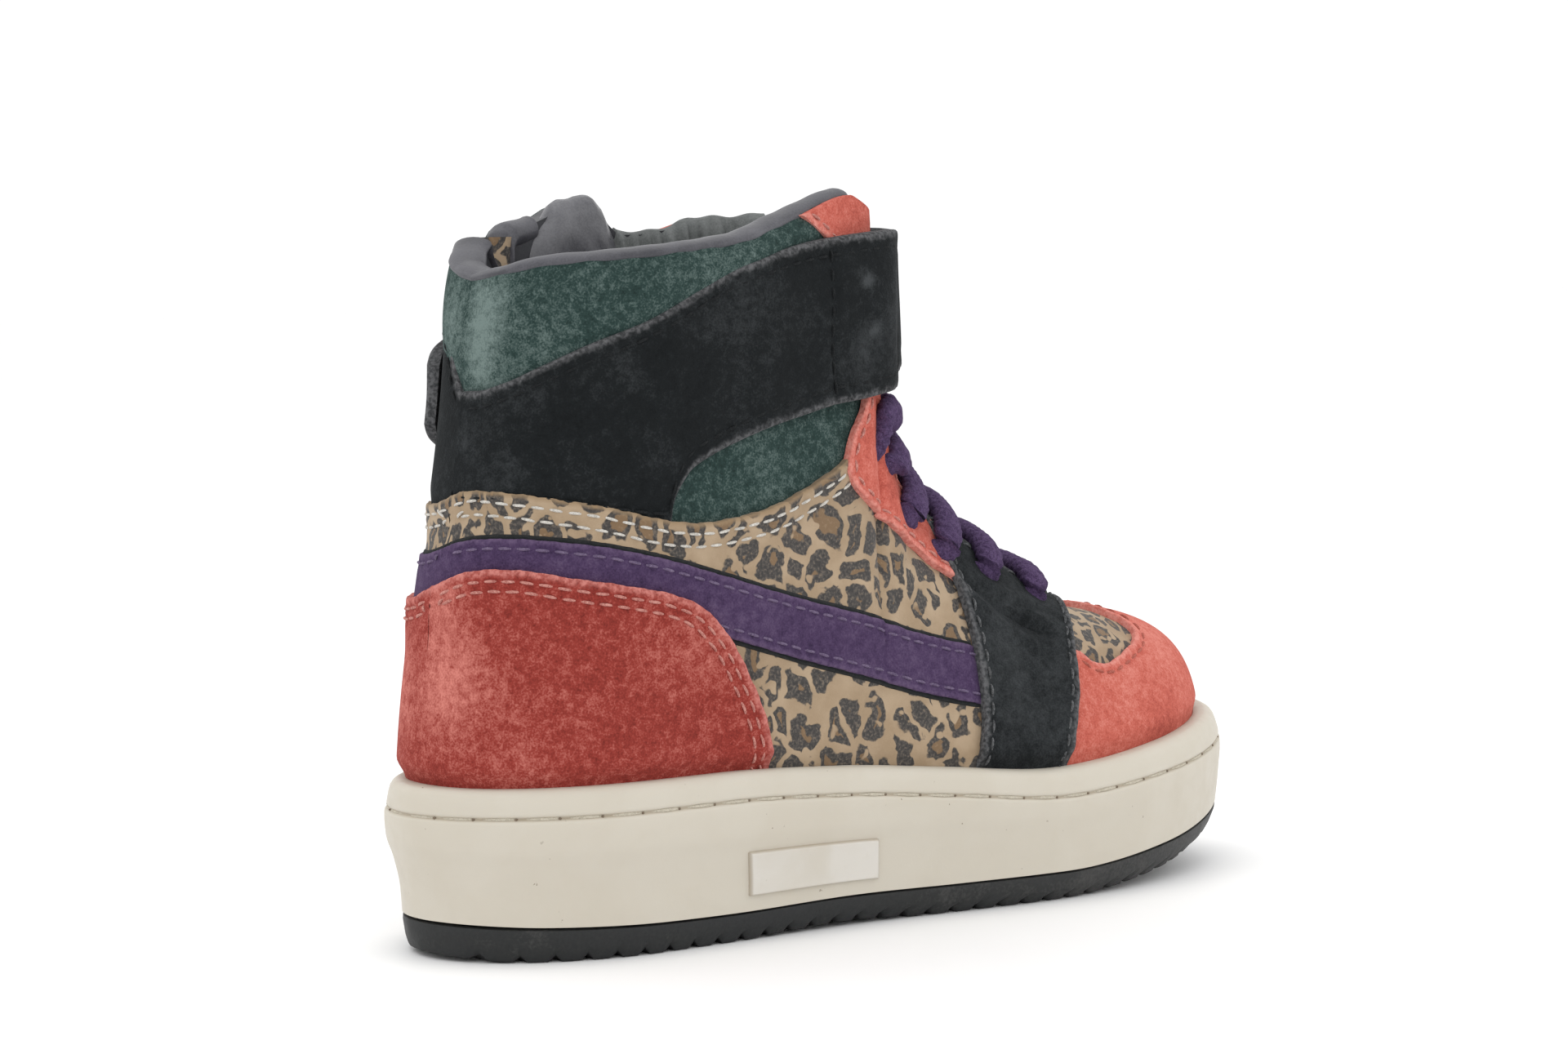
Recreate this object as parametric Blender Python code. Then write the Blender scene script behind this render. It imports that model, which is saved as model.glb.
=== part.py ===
"""Child's high-top sneaker for the right foot, built as the pieces that a shoemaker joins.

Sizes are in millimetres and become metres where each mesh is made. +X points to the toe, +Y to the
inner (medial) side and +Z up. The drawing frame has its zero on the floor under the back of the heel.
An empty called shoe moves every piece so that the middle of the sole is the origin.
"""

import math
from collections import namedtuple

import bmesh
import bpy
import numpy as np

MM = 0.001

# Driving dimensions
SOLE_LENGTH = 185.0
GAP = 0.3
FEATHER_INSET = 4.6
WALL_THICKNESS = 2.4
INSOLE_THICKNESS = 3.0
TONGUE_THICKNESS = 4.0
TONGUE_CLEARANCE = 3.2
TONGUE_TOP, TONGUE_TAPER, TONGUE_SET_BACK = 128.0, 0.9, 2.0
OVERLAY_THICKNESS, OVERLAY_LEAST = 1.5, 1.0
STRAP_THICKNESS = 2.2
LACE_RADIUS = 2.1
LACE_CLEARANCE = 1.3
LACE_ROWS = 6
LACE_TOP, LACE_BOTTOM = 91.0, 57.5
LACE_STEPS = 8
LACE_SPACING = 4.2
LACE_ROUNDNESS = 2
EYELET_INSET = 4.0
TOOTH_PITCH = 5.2
TOOTH_DEPTH = 1.1
TOOTH_CREST, TOOTH_VALLEY = 0.55, 0.8
TOE_SWING = 3.0
TOE_SWING_START = 110.0
HEEL_ROUND, SOLE_HEEL_POWER, LAST_HEEL_POWER = 34.0, 1.95, 2.3
TOE_ROUND, TOE_POWER = 50.0, 2.2

# The two sides of the shoe: the outer one faces -Y, the inner one +Y.
OUTER, INNER = -1.0, 1.0
SIDES = (OUTER, INNER)

# Half widths of the sole along its widest line.
PlanRow = namedtuple("PlanRow", "x outer inner")
SOLE_PLAN = (
    PlanRow(0, 27.0, 27.0),
    PlanRow(30, 28.0, 28.0),
    PlanRow(78, 29.5, 26.5),
    PlanRow(128, 35.0, 35.5),
    PlanRow(185, 32.5, 34.5),
)

# Heights along the sole: upper edge, footbed, joint between cup and outsole, and tread.
SoleRow = namedtuple("SoleRow", "x top floor joint tread")
SOLE_HEIGHTS = (
    SoleRow(0, 30.0, 16.0, 7.0, 1.6),
    SoleRow(14, 30.0, 15.6, 6.2, 0.0),
    SoleRow(50, 30.0, 14.5, 5.4, 0.0),
    SoleRow(75, 28.8, 13.4, 5.8, 0.8),
    SoleRow(98, 26.6, 12.2, 5.6, 0.0),
    SoleRow(122, 24.4, 11.5, 5.6, 0.0),
    SoleRow(150, 26.4, 13.0, 8.0, 2.2),
    SoleRow(185, 30.4, 18.0, 13.8, 8.5),
)

# Side wall of the cup sole, from the joint (level 0) to the upper edge (level 1): how far it lies
# inside the widest line at the heel and at the toe.
WallRow = namedtuple("WallRow", "level heel toe")
CUP_WALL = (
    WallRow(0.00, 2.6, 0.9),
    WallRow(0.20, 2.3, 0.5),
    WallRow(0.42, 1.3, 0.2),
    WallRow(0.58, 0.2, 0.0),
    WallRow(0.72, 0.0, 0.0),
    WallRow(0.86, 0.4, 0.5),
    WallRow(0.95, 0.9, 1.1),
    WallRow(1.00, 1.8, 2.2),
)

# How much further in the outsole's tread and the shoulder above it lie.
Inset = namedtuple("Inset", "heel toe")
TREAD_INSET = Inset(0.8, 3.0)
SHOULDER_INSET = Inset(0.3, 0.9)

# Ribs of the last, from the back of the heel round to the toe. A rib climbs from the feather line at
# sole to the top line at x, half, top. The top line is the collar as far as the row at 86 and then
# the ridge of the instep. inner_top is the collar on the zip side. lean is the angle from upright at
# which a rib arrives, low and high are its handles as shares of its length, pad is collar padding.
RibRow = namedtuple("RibRow", "sole x half top inner_top lean low high pad")
RIBS = (
    RibRow(0, 17.0, 0.0, 116.3, 116.3, 0, 0.42, 0.35, 2.6),
    RibRow(4, 18.0, 7.0, 117.3, 118.0, 0, 0.42, 0.35, 2.6),
    RibRow(13, 22.5, 14.0, 118.8, 121.0, 0, 0.42, 0.35, 2.8),
    RibRow(26, 31.0, 19.8, 119.5, 114.0, 0, 0.40, 0.35, 3.0),
    RibRow(42, 43.0, 23.3, 120.5, 127.5, 0, 0.38, 0.35, 3.0),
    RibRow(58, 56.5, 23.2, 122.0, 130.0, 0, 0.37, 0.33, 2.8),
    RibRow(69, 69.0, 20.8, 125.5, 126.0, 0, 0.37, 0.31, 2.0),
    RibRow(77, 83.0, 17.0, 129.5, 127.0, 4, 0.37, 0.27, 0.8),
    RibRow(82, 93.0, 11.5, 130.5, 128.5, 12, 0.38, 0.20, 0.0),
    RibRow(86, 98.0, 0.0, 130.0, 130.0, 40, 0.39, 0.12, 0.0),
    RibRow(90, 97.0, 0.0, 114.0, 114.0, 76, 0.41, 0.11, 0.0),
    RibRow(95, 96.0, 0.0, 98.0, 98.0, 87, 0.43, 0.12, 0.0),
    RibRow(102, 101.5, 0.0, 82.0, 82.0, 90, 0.45, 0.16, 0.0),
    RibRow(111, 115.5, 0.0, 68.5, 68.5, 90, 0.47, 0.25, 0.0),
    RibRow(124, 132.0, 0.0, 57.5, 57.5, 90, 0.49, 0.36, 0.0),
    RibRow(140, 144.0, 0.0, 51.5, 51.5, 90, 0.51, 0.42, 0.0),
    RibRow(157, 154.5, 0.0, 49.4, 49.4, 90, 0.52, 0.45, 0.0),
    RibRow(173, 161.5, 0.0, 48.0, 48.0, 90, 0.52, 0.46, 0.0),
    RibRow(185, 164.5, 0.0, 47.2, 47.2, 90, 0.52, 0.46, 0.0),
)
PAD_FROM, PAD_FULL = 84.0, 106.0

# Where the ribs start to follow the slope of the ridge, and the steepest slope they follow.
RIDGE_FROM, RIDGE_FULL = 0.55, 0.62
STEEPEST = -4.0
TINY = 1e-6

# Half width of the throat along the ridge. It closes in a round end at the vamp point.
ThroatRow = namedtuple("ThroatRow", "x half")
THROAT = (
    ThroatRow(80, 13.0),
    ThroatRow(92, 12.5),
    ThroatRow(100, 11.0),
    ThroatRow(114, 10.0),
    ThroatRow(131, 9.0),
)
VAMP_POINT = 142.0

# The tongue, by the height of the ridge over it: its half width.
TongueRow = namedtuple("TongueRow", "ridge half")
TONGUE = (
    TongueRow(52, 9.0),
    TongueRow(57, 12.0),
    TongueRow(68, 14.0),
    TongueRow(82, 14.0),
    TongueRow(98, 13.0),
    TongueRow(112, 12.0),
)

# Overlays: how high they reach above the floor at each place along the sole.
EdgeRow = namedtuple("EdgeRow", "sole top")
HEEL_COUNTER = (
    EdgeRow(0, 66.0),
    EdgeRow(20, 65.0),
    EdgeRow(36, 62.0),
    EdgeRow(46, 57.0),
    EdgeRow(53, 48.0),
    EdgeRow(58, 34.0),
    EdgeRow(60, 31.5),
)
TOE_CAP = (
    EdgeRow(121, 28.0),
    EdgeRow(126, 38.0),
    EdgeRow(140, 42.0),
    EdgeRow(160, 40.5),
    EdgeRow(176, 41.0),
    EdgeRow(185, 42.0),
)

# The ankle strap, by its place round the ankle: 0 at the back, 1 at the front. It starts at the back
# on the outer side, crosses the front and ends on the inner side. stand is its distance off the upper.
StrapRow = namedtuple("StrapRow", "side round low high stand")
STRAP = (
    StrapRow(OUTER, 0.00, 82.0, 98.5, 0.4),
    StrapRow(OUTER, 0.12, 81.0, 100.0, 0.4),
    StrapRow(OUTER, 0.22, 79.0, 104.8, 0.4),
    StrapRow(OUTER, 0.34, 77.0, 110.2, 0.4),
    StrapRow(OUTER, 0.42, 84.5, 114.4, 0.4),
    StrapRow(OUTER, 0.53, 88.8, 118.6, 0.5),
    StrapRow(OUTER, 0.69, 92.6, 122.0, 1.4),
    StrapRow(OUTER, 0.86, 94.6, 123.6, 4.2),
    StrapRow(INNER, 1.00, 97.0, 124.0, 6.4),
    StrapRow(INNER, 0.86, 94.0, 122.5, 3.8),
    StrapRow(INNER, 0.70, 90.0, 119.0, 1.0),
    StrapRow(INNER, 0.50, 86.5, 114.0, 0.8),
    StrapRow(INNER, 0.30, 84.5, 109.0, 1.2),
    StrapRow(INNER, 0.22, 85.5, 106.5, 1.6),
    StrapRow(INNER, 0.16, 88.0, 104.0, 2.0),
    StrapRow(INNER, 0.13, 91.0, 101.0, 2.2),
)

# The strap follows the upper at the heel and stands upright, as a stiff band, between these places.
STRAP_UPRIGHT = (0.60, 0.88)

# Colour and roughness of each material.
Finish = namedtuple("Finish", "red green blue roughness")
FINISHES = {
    "outsole_rubber": Finish(0.030, 0.030, 0.032, 0.75),
    "cup_rubber": Finish(0.640, 0.590, 0.500, 0.55),
    "lining": Finish(0.055, 0.060, 0.062, 0.85),
    "quarter_suede": Finish(0.330, 0.230, 0.130, 0.90),
    "coral_suede": Finish(0.480, 0.085, 0.060, 0.92),
    "black_suede": Finish(0.020, 0.023, 0.026, 0.92),
    "lace_cord": Finish(0.095, 0.050, 0.130, 0.90),
}

# Mesh steps. Pieces that lie on each other share the ribs' steps, so that their facets run together.
RIB_STEPS = 36
HEIGHT_STEPS = 14
OVERLAY_STEPS = 6
TONGUE_STEPS = 10
TONGUE_STEPS_ACROSS = 8
STRAP_STEPS = 44
STRAP_HEIGHT_STEPS = 4
GIRTH_STEPS = 160
FAN_BACK, FAN_AHEAD = 0.16, 0.12
FINE_STEPS = 801
HALVINGS = 30
SLOPE = 0.004
WELD = 0.001
SHARP_DEGREES = 35.0

ROW_SHARES = np.linspace(0.0, 1.0, len(RIBS))
STEP_SHARES = np.linspace(0.0, 1.0, RIB_STEPS + 1)
FRONT_SHARE = ROW_SHARES[[row.half for row in RIBS].index(0.0, 1)]


def clear_scene():
    for obj in list(bpy.data.objects):
        bpy.data.objects.remove(obj, do_unlink=True)


def column(rows, name):
    return np.array([getattr(row, name) for row in rows], float)


def through(xs, ys, x):
    """The value at x of a smooth curve through the points, which never swings past them."""
    step = np.diff(xs)
    slope = np.diff(ys) / step
    tangent = np.empty(len(xs))
    tangent[0], tangent[-1] = slope[0], slope[-1]
    product = slope[:-1] * slope[1:]
    total = slope[:-1] + slope[1:]
    level = product <= 0
    tangent[1:-1] = np.where(level, 0.0, 2.0 * product / np.where(level, 1.0, total))
    x = np.clip(np.asarray(x, float), xs[0], xs[-1])
    i = np.clip(np.searchsorted(xs, x, side="right") - 1, 0, len(xs) - 2)
    h = step[i]
    q = (x - xs[i]) / h
    rise = q * q * (3.0 - 2.0 * q)
    return (
        ys[i] + (ys[i + 1] - ys[i]) * rise
        + h * tangent[i] * q * (1.0 - q) ** 2
        - h * tangent[i + 1] * q * q * (1.0 - q)
    )


def look_up(rows, name, x):
    return through(column(rows, rows[0]._fields[0]), column(rows, name), x)


def smooth_step(low, high, x):
    q = np.clip((np.asarray(x, float) - low) / (high - low), 0.0, 1.0)
    return q * q * (3.0 - 2.0 * q)


def round_end(distance, reach, power):
    """The share of full width at a distance from a rounded end."""
    q = 1.0 - np.clip(distance / reach, 0.0, 1.0)
    return np.maximum(1.0 - q**power, 0.0) ** (1.0 / power)


def centre_line(x):
    """How far the middle of the foot swings to the inner side."""
    q = np.clip((np.asarray(x, float) - TOE_SWING_START) / (SOLE_LENGTH - TOE_SWING_START), 0.0, None)
    return TOE_SWING * q * q


def share_of(x):
    """The place along the sole as a share of a half turn, so that both ends come out round."""
    return np.arccos(np.clip(1.0 - 2.0 * np.asarray(x, float) / SOLE_LENGTH, -1.0, 1.0)) / math.pi


def plan_point(side, share, heel_inset, toe_inset, heel_power=SOLE_HEEL_POWER):
    """A point of the sole's plan, lying inside its widest line by the insets given for heel and toe."""
    along = (1.0 - np.cos(math.pi * np.asarray(share, float))) / 2.0
    x = heel_inset + (SOLE_LENGTH - heel_inset - toe_inset) * along
    half = look_up(SOLE_PLAN, "outer" if side == OUTER else "inner", x)
    half = half - (heel_inset + (toe_inset - heel_inset) * along)
    half = half * round_end(x - heel_inset, HEEL_ROUND, heel_power)
    half = half * round_end(SOLE_LENGTH - toe_inset - x, TOE_ROUND, TOE_POWER)
    return x, centre_line(x) + side * half


def plan_share(s):
    """The place on the sole's plan at which the rib at s stands."""
    return through(ROW_SHARES, share_of(column(RIBS, "sole")), s)


def rib_handles(side, s):
    """The four handles of the rib at s, where s runs from 0 at the heel to 1 at the toe."""
    s = np.asarray(s, float)

    def value(name, at=s):
        return through(ROW_SHARES, column(RIBS, name), at)

    foot_x, foot_y = plan_point(side, plan_share(s), FEATHER_INSET, FEATHER_INSET, LAST_HEEL_POWER)
    foot = np.stack([foot_x, foot_y, look_up(SOLE_HEIGHTS, "floor", foot_x) + GAP], -1)

    top_z = value("top" if side == OUTER else "inner_top")
    top_x = value("x")
    top = np.stack([top_x, centre_line(top_x) + side * value("half"), top_z], -1)

    span = np.linalg.norm(top - foot, axis=-1)[..., None]
    across = top - foot
    across[..., 2] = 0.0
    across = across / np.maximum(np.linalg.norm(across, axis=-1), TINY)[..., None]
    fall = value("top") - value("top", s - SLOPE)
    ahead = np.maximum(top_x - value("x", s - SLOPE), TINY)
    on_ridge = smooth_step(RIDGE_FROM, RIDGE_FULL, s)
    across[..., 2] = across[..., 0] * np.maximum(fall / ahead, STEEPEST) * on_ridge
    lean = np.radians(value("lean"))[..., None]
    arrive = np.cos(lean) * np.array([0.0, 0.0, 1.0]) + np.sin(lean) * across

    rise = foot + np.array([0.0, 0.0, 1.0]) * value("low")[..., None] * span
    reach = top - arrive * value("high")[..., None] * span
    return foot, rise, reach, top


def on_last(side, s, t):
    """A point of the upper's outer surface: t runs up the rib at s, from the sole to the top line."""
    foot, rise, reach, top = rib_handles(side, s)
    t = np.asarray(t, float)[..., None]
    r = 1.0 - t
    return r**3 * foot + 3 * r * r * t * rise + 3 * r * t * t * reach + t**3 * top


def normal_at(side, s, t):
    """The outward direction there, from small steps along and across the rib."""
    s = np.clip(s, SLOPE, 1.0 - SLOPE)
    t = np.clip(t, SLOPE, 1.0 - SLOPE)
    along = on_last(side, s + SLOPE, t) - on_last(side, s - SLOPE, t)
    up = on_last(side, s, t + SLOPE) - on_last(side, s, t - SLOPE)
    n = np.cross(along, up) * -side
    return n / np.linalg.norm(n, axis=-1)[..., None]


def off_last(side, s, t, distance):
    """A point at a distance outside the upper's outer surface. Both sides agree where they meet."""
    s, t = np.broadcast_arrays(np.asarray(s, float), np.asarray(t, float))
    n = normal_at(side, s, t)
    other = normal_at(-side, s, t)
    shared = (s <= 0.0) | (s >= 1.0) | ((t >= 1.0) & on_ridge(s))
    middle = n + other
    middle[..., 1] = np.where(s >= 1.0, middle[..., 1], 0.0)
    middle = middle / np.linalg.norm(middle, axis=-1)[..., None]
    n = np.where(shared[..., None], middle, n)
    return on_last(side, s, t) + n * np.asarray(distance, float)[..., None]


def on_ridge(s):
    """Whether the rib at s ends on the ridge of the instep, rather than on the collar."""
    return np.asarray(s, float) >= FRONT_SHARE - TINY


def share_where(side, s, holds):
    """The share t up to which a condition on the point holds, along each rib."""
    low, high = np.zeros(np.shape(s)), np.ones(np.shape(s))
    for _ in range(HALVINGS):
        middle = (low + high) / 2.0
        true = holds(on_last(side, s, middle))
        low = np.where(true, middle, low)
        high = np.where(true, high, middle)
    return (low + high) / 2.0


def height_share(side, s, z):
    """The share t at which the rib at s reaches the height z."""
    return share_where(side, s, lambda point: point[..., 2] < z)


def width_share(side, s, half):
    """The share t at which the rib at s comes within half of the middle of the foot."""
    return share_where(side, s, lambda p: np.abs(p[..., 1] - centre_line(p[..., 0])) > half)


def throat_half(x):
    """Half the throat's width where the ridge is at x."""
    first, last = THROAT[0], THROAT[-1]
    x = np.asarray(x, float)
    taper = np.clip((x - last.x) / (VAMP_POINT - last.x), 0.0, 1.0)
    return np.where(x < first.x, 0.0, look_up(THROAT, "half", x) * np.sqrt(1.0 - taper**2))


def edge_share(side, s):
    """The share t at which the upper ends on each rib: the collar, the throat's edge or the ridge."""
    s = np.asarray(s, float)
    top = on_last(side, s, np.ones(s.shape))
    half = throat_half(top[..., 0])
    whole = np.abs(top[..., 1] - centre_line(top[..., 0])) >= half
    return np.where(whole, 1.0, width_share(side, s, half))


def wall_at(s, z):
    """Thickness of the upper's wall, padded towards the collar."""
    pad = through(ROW_SHARES, column(RIBS, "pad"), s)
    return WALL_THICKNESS + pad * smooth_step(PAD_FROM, PAD_FULL, z)


def material(name):
    finish = FINISHES[name]
    made = bpy.data.materials.get(name) or bpy.data.materials.new(name)
    made.use_nodes = True
    shader = made.node_tree.nodes["Principled BSDF"]
    shader.inputs["Base Color"].default_value = (finish.red, finish.green, finish.blue, 1.0)
    shader.inputs["Roughness"].default_value = finish.roughness
    shader.inputs["Metallic"].default_value = 0.0
    return made


def piece(name, mesh, finish, parent):
    obj = bpy.data.objects.new(name, mesh)
    bpy.context.scene.collection.objects.link(obj)
    obj.parent = parent
    mesh.materials.append(material(finish))
    return obj


def solid(name, faces, finish, parent):
    """A closed body from faces given by their corners in millimetres. Equal corners are joined."""
    built = bmesh.new()
    for corners in faces:
        built.faces.new([built.verts.new([c * MM for c in corner]) for corner in corners])
    bmesh.ops.remove_doubles(built, verts=built.verts, dist=WELD * MM)
    bmesh.ops.triangulate(built, faces=built.faces)
    bmesh.ops.recalc_face_normals(built, faces=built.faces)
    mesh = bpy.data.meshes.new(name)
    built.to_mesh(mesh)
    built.free()
    mesh.shade_smooth()
    mesh.set_sharp_from_angle(angle=math.radians(SHARP_DEGREES))
    return piece(name, mesh, finish, parent)


def band(first, second):
    """Faces between two rows of points."""
    count = len(first) - 1
    return [(first[i], first[i + 1], second[i + 1], second[i]) for i in range(count)]


def grid(rows):
    return [face for k in range(len(rows) - 1) for face in band(rows[k], rows[k + 1])]


def ring(outer, inner):
    """A closed row: up the outer side from heel to toe and back down the inner side."""
    return np.concatenate([outer, inner[::-1]])


def slab(rings):
    """Faces of a body between its first and last ring, whose ends are closed across the shoe."""
    half = len(rings[0]) // 2
    faces = grid(rings)
    for end in (rings[0], rings[-1]):
        faces += band(end[:half], end[::-1][:half])
    return faces


def sole_ring(share, heel_inset, toe_inset, height):
    """A ring of the sole's plan, whose height is a function of the place along it."""
    sides = []
    for side in SIDES:
        x, y = plan_point(side, share, heel_inset, toe_inset)
        sides.append(np.stack([x, y, height(x)], -1))
    return ring(*sides)


def make_outsole(parent):
    """Dark rubber tread with sloping teeth across it, seen as a saw edge along the side."""
    count = int(SOLE_LENGTH / TOOTH_PITCH)
    pitch = SOLE_LENGTH / count
    starts = np.arange(count) * pitch
    places = np.sort(np.concatenate([starts, starts + TOOTH_CREST * pitch, starts + TOOTH_VALLEY * pitch]))
    share = share_of(np.append(places, SOLE_LENGTH))
    valley = np.append(np.tile([0.0, 0.0, 1.0], count), 0.0)

    def tread(x):
        return look_up(SOLE_HEIGHTS, "tread", x)

    def joint(x):
        return look_up(SOLE_HEIGHTS, "joint", x) - GAP

    heel, toe = CUP_WALL[0].heel, CUP_WALL[0].toe
    foot = sole_ring(share, heel + TREAD_INSET.heel, toe + TREAD_INSET.toe, tread)
    foot[:, 2] += TOOTH_DEPTH * np.concatenate([valley, valley[::-1]])
    heel_inset, toe_inset = heel + SHOULDER_INSET.heel, toe + SHOULDER_INSET.toe
    shoulder = sole_ring(share, heel_inset, toe_inset, lambda x: (joint(x) + tread(x)) / 2.0)
    top = sole_ring(share, heel, toe, joint)
    return solid("outsole", slab([foot, shoulder, top]), "outsole_rubber", parent)


def make_midsole(parent):
    """Off-white cup sole: a bulging side wall round a recess that takes the upper and the insole."""
    s = STEP_SHARES
    share = plan_share(s)
    rings = []
    for row in CUP_WALL:
        def height(x, level=row.level):
            low = look_up(SOLE_HEIGHTS, "joint", x)
            return low + (look_up(SOLE_HEIGHTS, "top", x) - low) * level

        rings.append(sole_ring(share, row.heel, row.toe, height))
    for level in (1.0, 0.5, 0.0):
        sides = []
        for side in SIDES:
            foot = on_last(side, s, np.zeros(s.shape))
            low = look_up(SOLE_HEIGHTS, "floor", foot[:, 0])
            high = look_up(SOLE_HEIGHTS, "top", foot[:, 0])
            t = height_share(side, s, low + (high - low) * level)
            wall = off_last(side, s, t, np.full(s.shape, GAP))
            wall[:, 2] = low + (high - low) * level
            sides.append(wall)
        rings.append(ring(*sides))
    return solid("midsole", slab(rings), "cup_rubber", parent)


def make_insole(parent):
    """The footbed board inside the upper."""
    s = STEP_SHARES
    rings = []
    for rise in (0.0, INSOLE_THICKNESS):
        sides = []
        for side in SIDES:
            foot = on_last(side, s, np.zeros(s.shape))
            z = foot[:, 2] + rise
            t = height_share(side, s, z)
            edge = off_last(side, s, t, np.full(s.shape, -WALL_THICKNESS - 2 * GAP))
            edge[:, 2] = z
            sides.append(edge)
        rings.append(ring(*sides))
    return solid("insole", slab(rings), "lining", parent)


def make_upper(parent):
    """One hollow wall, open under the foot, at the collar and along the throat."""
    s = STEP_SHARES
    rise = np.linspace(0.0, 1.0, HEIGHT_STEPS + 1)
    faces = []
    for side in SIDES:
        edge = edge_share(side, s)
        t = rise[:, None] * edge[None, :]
        around = np.broadcast_to(s, t.shape)
        z = on_last(side, around, t)[..., 2]
        outer = off_last(side, around, t, np.zeros(t.shape))
        inner = off_last(side, around, t, -wall_at(around, z))
        faces += grid(outer) + grid(inner) + band(outer[0], inner[0])
        closed = (edge >= 1.0) & on_ridge(s)
        for i in range(RIB_STEPS):
            if not (closed[i] and closed[i + 1]):
                faces += band(outer[-1, i:i + 2], inner[-1, i:i + 2])
    return solid("upper", faces, "quarter_suede", parent)


def make_tongue(parent):
    """A padded strip under the throat. Its top runs on upright to the height of the collar."""
    heights = np.linspace(TONGUE[-1].ridge, TONGUE[0].ridge, TONGUE_STEPS + 1)
    widths = look_up(TONGUE, "half", heights)
    layers = []
    for depth in (0.0, TONGUE_THICKNESS):
        below = -TONGUE_CLEARANCE - depth
        strip = []
        for z, half in zip(heights, widths):
            places = np.linspace(-half, half, TONGUE_STEPS_ACROSS + 1)
            strip.append([across_ridge(INNER if y > 0 else OUTER, ridge_at(z), abs(y), below) for y in places])
        end = np.array(strip[0]) * (1.0, TONGUE_TAPER, 0.0) + (-TONGUE_SET_BACK, 0.0, TONGUE_TOP)
        layers.append(np.concatenate([[end], strip]))
    face, back = layers
    faces = grid(face) + grid(back)
    faces += band(face[0], back[0]) + band(face[-1], back[-1])
    faces += band(face[:, 0], back[:, 0]) + band(face[:, -1], back[:, -1])
    return solid("tongue", faces, "lining", parent)


def overlay(name, rows, finish, parent):
    """A suede overlay that stands proud: it lies between two offsets of the upper's own surface."""
    places = SOLE_LENGTH * (1.0 - np.cos(math.pi * plan_share(STEP_SHARES))) / 2.0
    covered = (places >= rows[0].sole) & (places <= rows[-1].sole)
    places, s = places[covered], STEP_SHARES[covered]
    layers = []
    for distance in (GAP, GAP + OVERLAY_THICKNESS):
        halves = []
        for side in SIDES:
            foot = on_last(side, s, np.zeros(s.shape))
            low = look_up(SOLE_HEIGHTS, "top", foot[:, 0]) + GAP
            high = np.maximum(look_up(rows, "top", places), low + OVERLAY_LEAST)
            z = low[None, :] + (high - low)[None, :] * np.linspace(0.0, 1.0, OVERLAY_STEPS + 1)[:, None]
            around = np.broadcast_to(s, z.shape)
            t = height_share(side, around, z)
            halves.append(off_last(side, around, t, np.full(z.shape, distance)))
        if rows[0].sole == 0:
            layers.append(np.concatenate([halves[0][:, ::-1], halves[1][:, 1:]], axis=1))
        else:
            layers.append(np.concatenate([halves[0], halves[1][:, -2::-1]], axis=1))
    under, over = layers
    faces = grid(under) + grid(over)
    faces += band(under[0], over[0]) + band(under[-1], over[-1])
    faces += band(under[:, 0], over[:, 0]) + band(under[:, -1], over[:, -1])
    return solid(name, faces, finish, parent)


def ridge_at(z):
    """The rib that ends on the ridge at the height z."""
    fine = np.linspace(FRONT_SHARE, 1.0, FINE_STEPS)
    return np.interp(-z, -through(ROW_SHARES, column(RIBS, "top"), fine), fine)


def girth(side, z):
    """The upper's outline at the height z, from the back to the ridge, with its outward directions."""
    s = np.linspace(0.0, ridge_at(z), GIRTH_STEPS)
    points = on_last(side, s, height_share(side, s, np.full(GIRTH_STEPS, z)))
    ahead = np.gradient(points, axis=0)
    ahead[[0, -1], 0] = 0.0
    normals = np.stack([ahead[:, 1], -ahead[:, 0], np.zeros(GIRTH_STEPS)], -1) * -side
    return points, normals / np.linalg.norm(normals, axis=1)[:, None]


def round_ankle(side, place, z, distance):
    """A point off the upper at a place round the ankle (0 at the back, 1 at the front) and a height."""
    points, normals = girth(side, z)
    run = np.concatenate([[0.0], np.cumsum(np.linalg.norm(np.diff(points, axis=0), axis=1))])
    run = run / run[-1]
    point = np.array([np.interp(place, run, points[:, k]) for k in range(3)])
    n = np.array([np.interp(place, run, normals[:, k]) for k in range(3)])
    return point + n / np.linalg.norm(n) * distance


def make_strap(parent):
    """Suede ankle strap: sewn at the heel, round the front and fastened on the inner side."""
    turn = np.array([row.round if row.side == OUTER else 2.0 - row.round for row in STRAP])
    places = np.linspace(turn[0], turn[-1], STRAP_STEPS + 1)
    layers = []
    for thickness in (0.0, STRAP_THICKNESS):
        rows = []
        for turned in places:
            side, place = (OUTER, turned) if turned <= 1.0 else (INNER, 2.0 - turned)
            low, high, stand = (through(turn, column(STRAP, n), turned) for n in ("low", "high", "stand"))
            heights = np.linspace(low, high, STRAP_HEIGHT_STEPS + 1)
            stiff = smooth_step(*STRAP_UPRIGHT, place)
            drawn = heights + (heights.mean() - heights) * stiff
            row = np.array([round_ankle(side, float(place), z, stand + thickness) for z in drawn])
            row[:, 2] = heights
            rows.append(row)
        layers.append(np.array(rows))
    under, over = layers
    faces = grid(under) + grid(over)
    faces += band(under[0], over[0]) + band(under[-1], over[-1])
    faces += band(under[:, 0], over[:, 0]) + band(under[:, -1], over[:, -1])
    return solid("strap", faces, "black_suede", parent)


def across_ridge(side, s, half, lift):
    """A point off the upper at a half width, in the plane that cuts the ridge squarely at the rib s."""
    one = np.ones(1)
    ridge = on_last(side, np.array([s]), one)[0]
    ahead = on_last(side, np.array([s + SLOPE]), one)[0] - on_last(side, np.array([s - SLOPE]), one)[0]
    fan = np.linspace(s - FAN_BACK, s + FAN_AHEAD, GIRTH_STEPS)
    points = on_last(side, fan, width_share(side, fan, half))
    rib = np.array([np.interp(0.0, (points - ridge) @ ahead, fan)])
    return off_last(side, rib, width_share(side, rib, half), np.array([lift]))[0]


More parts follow.
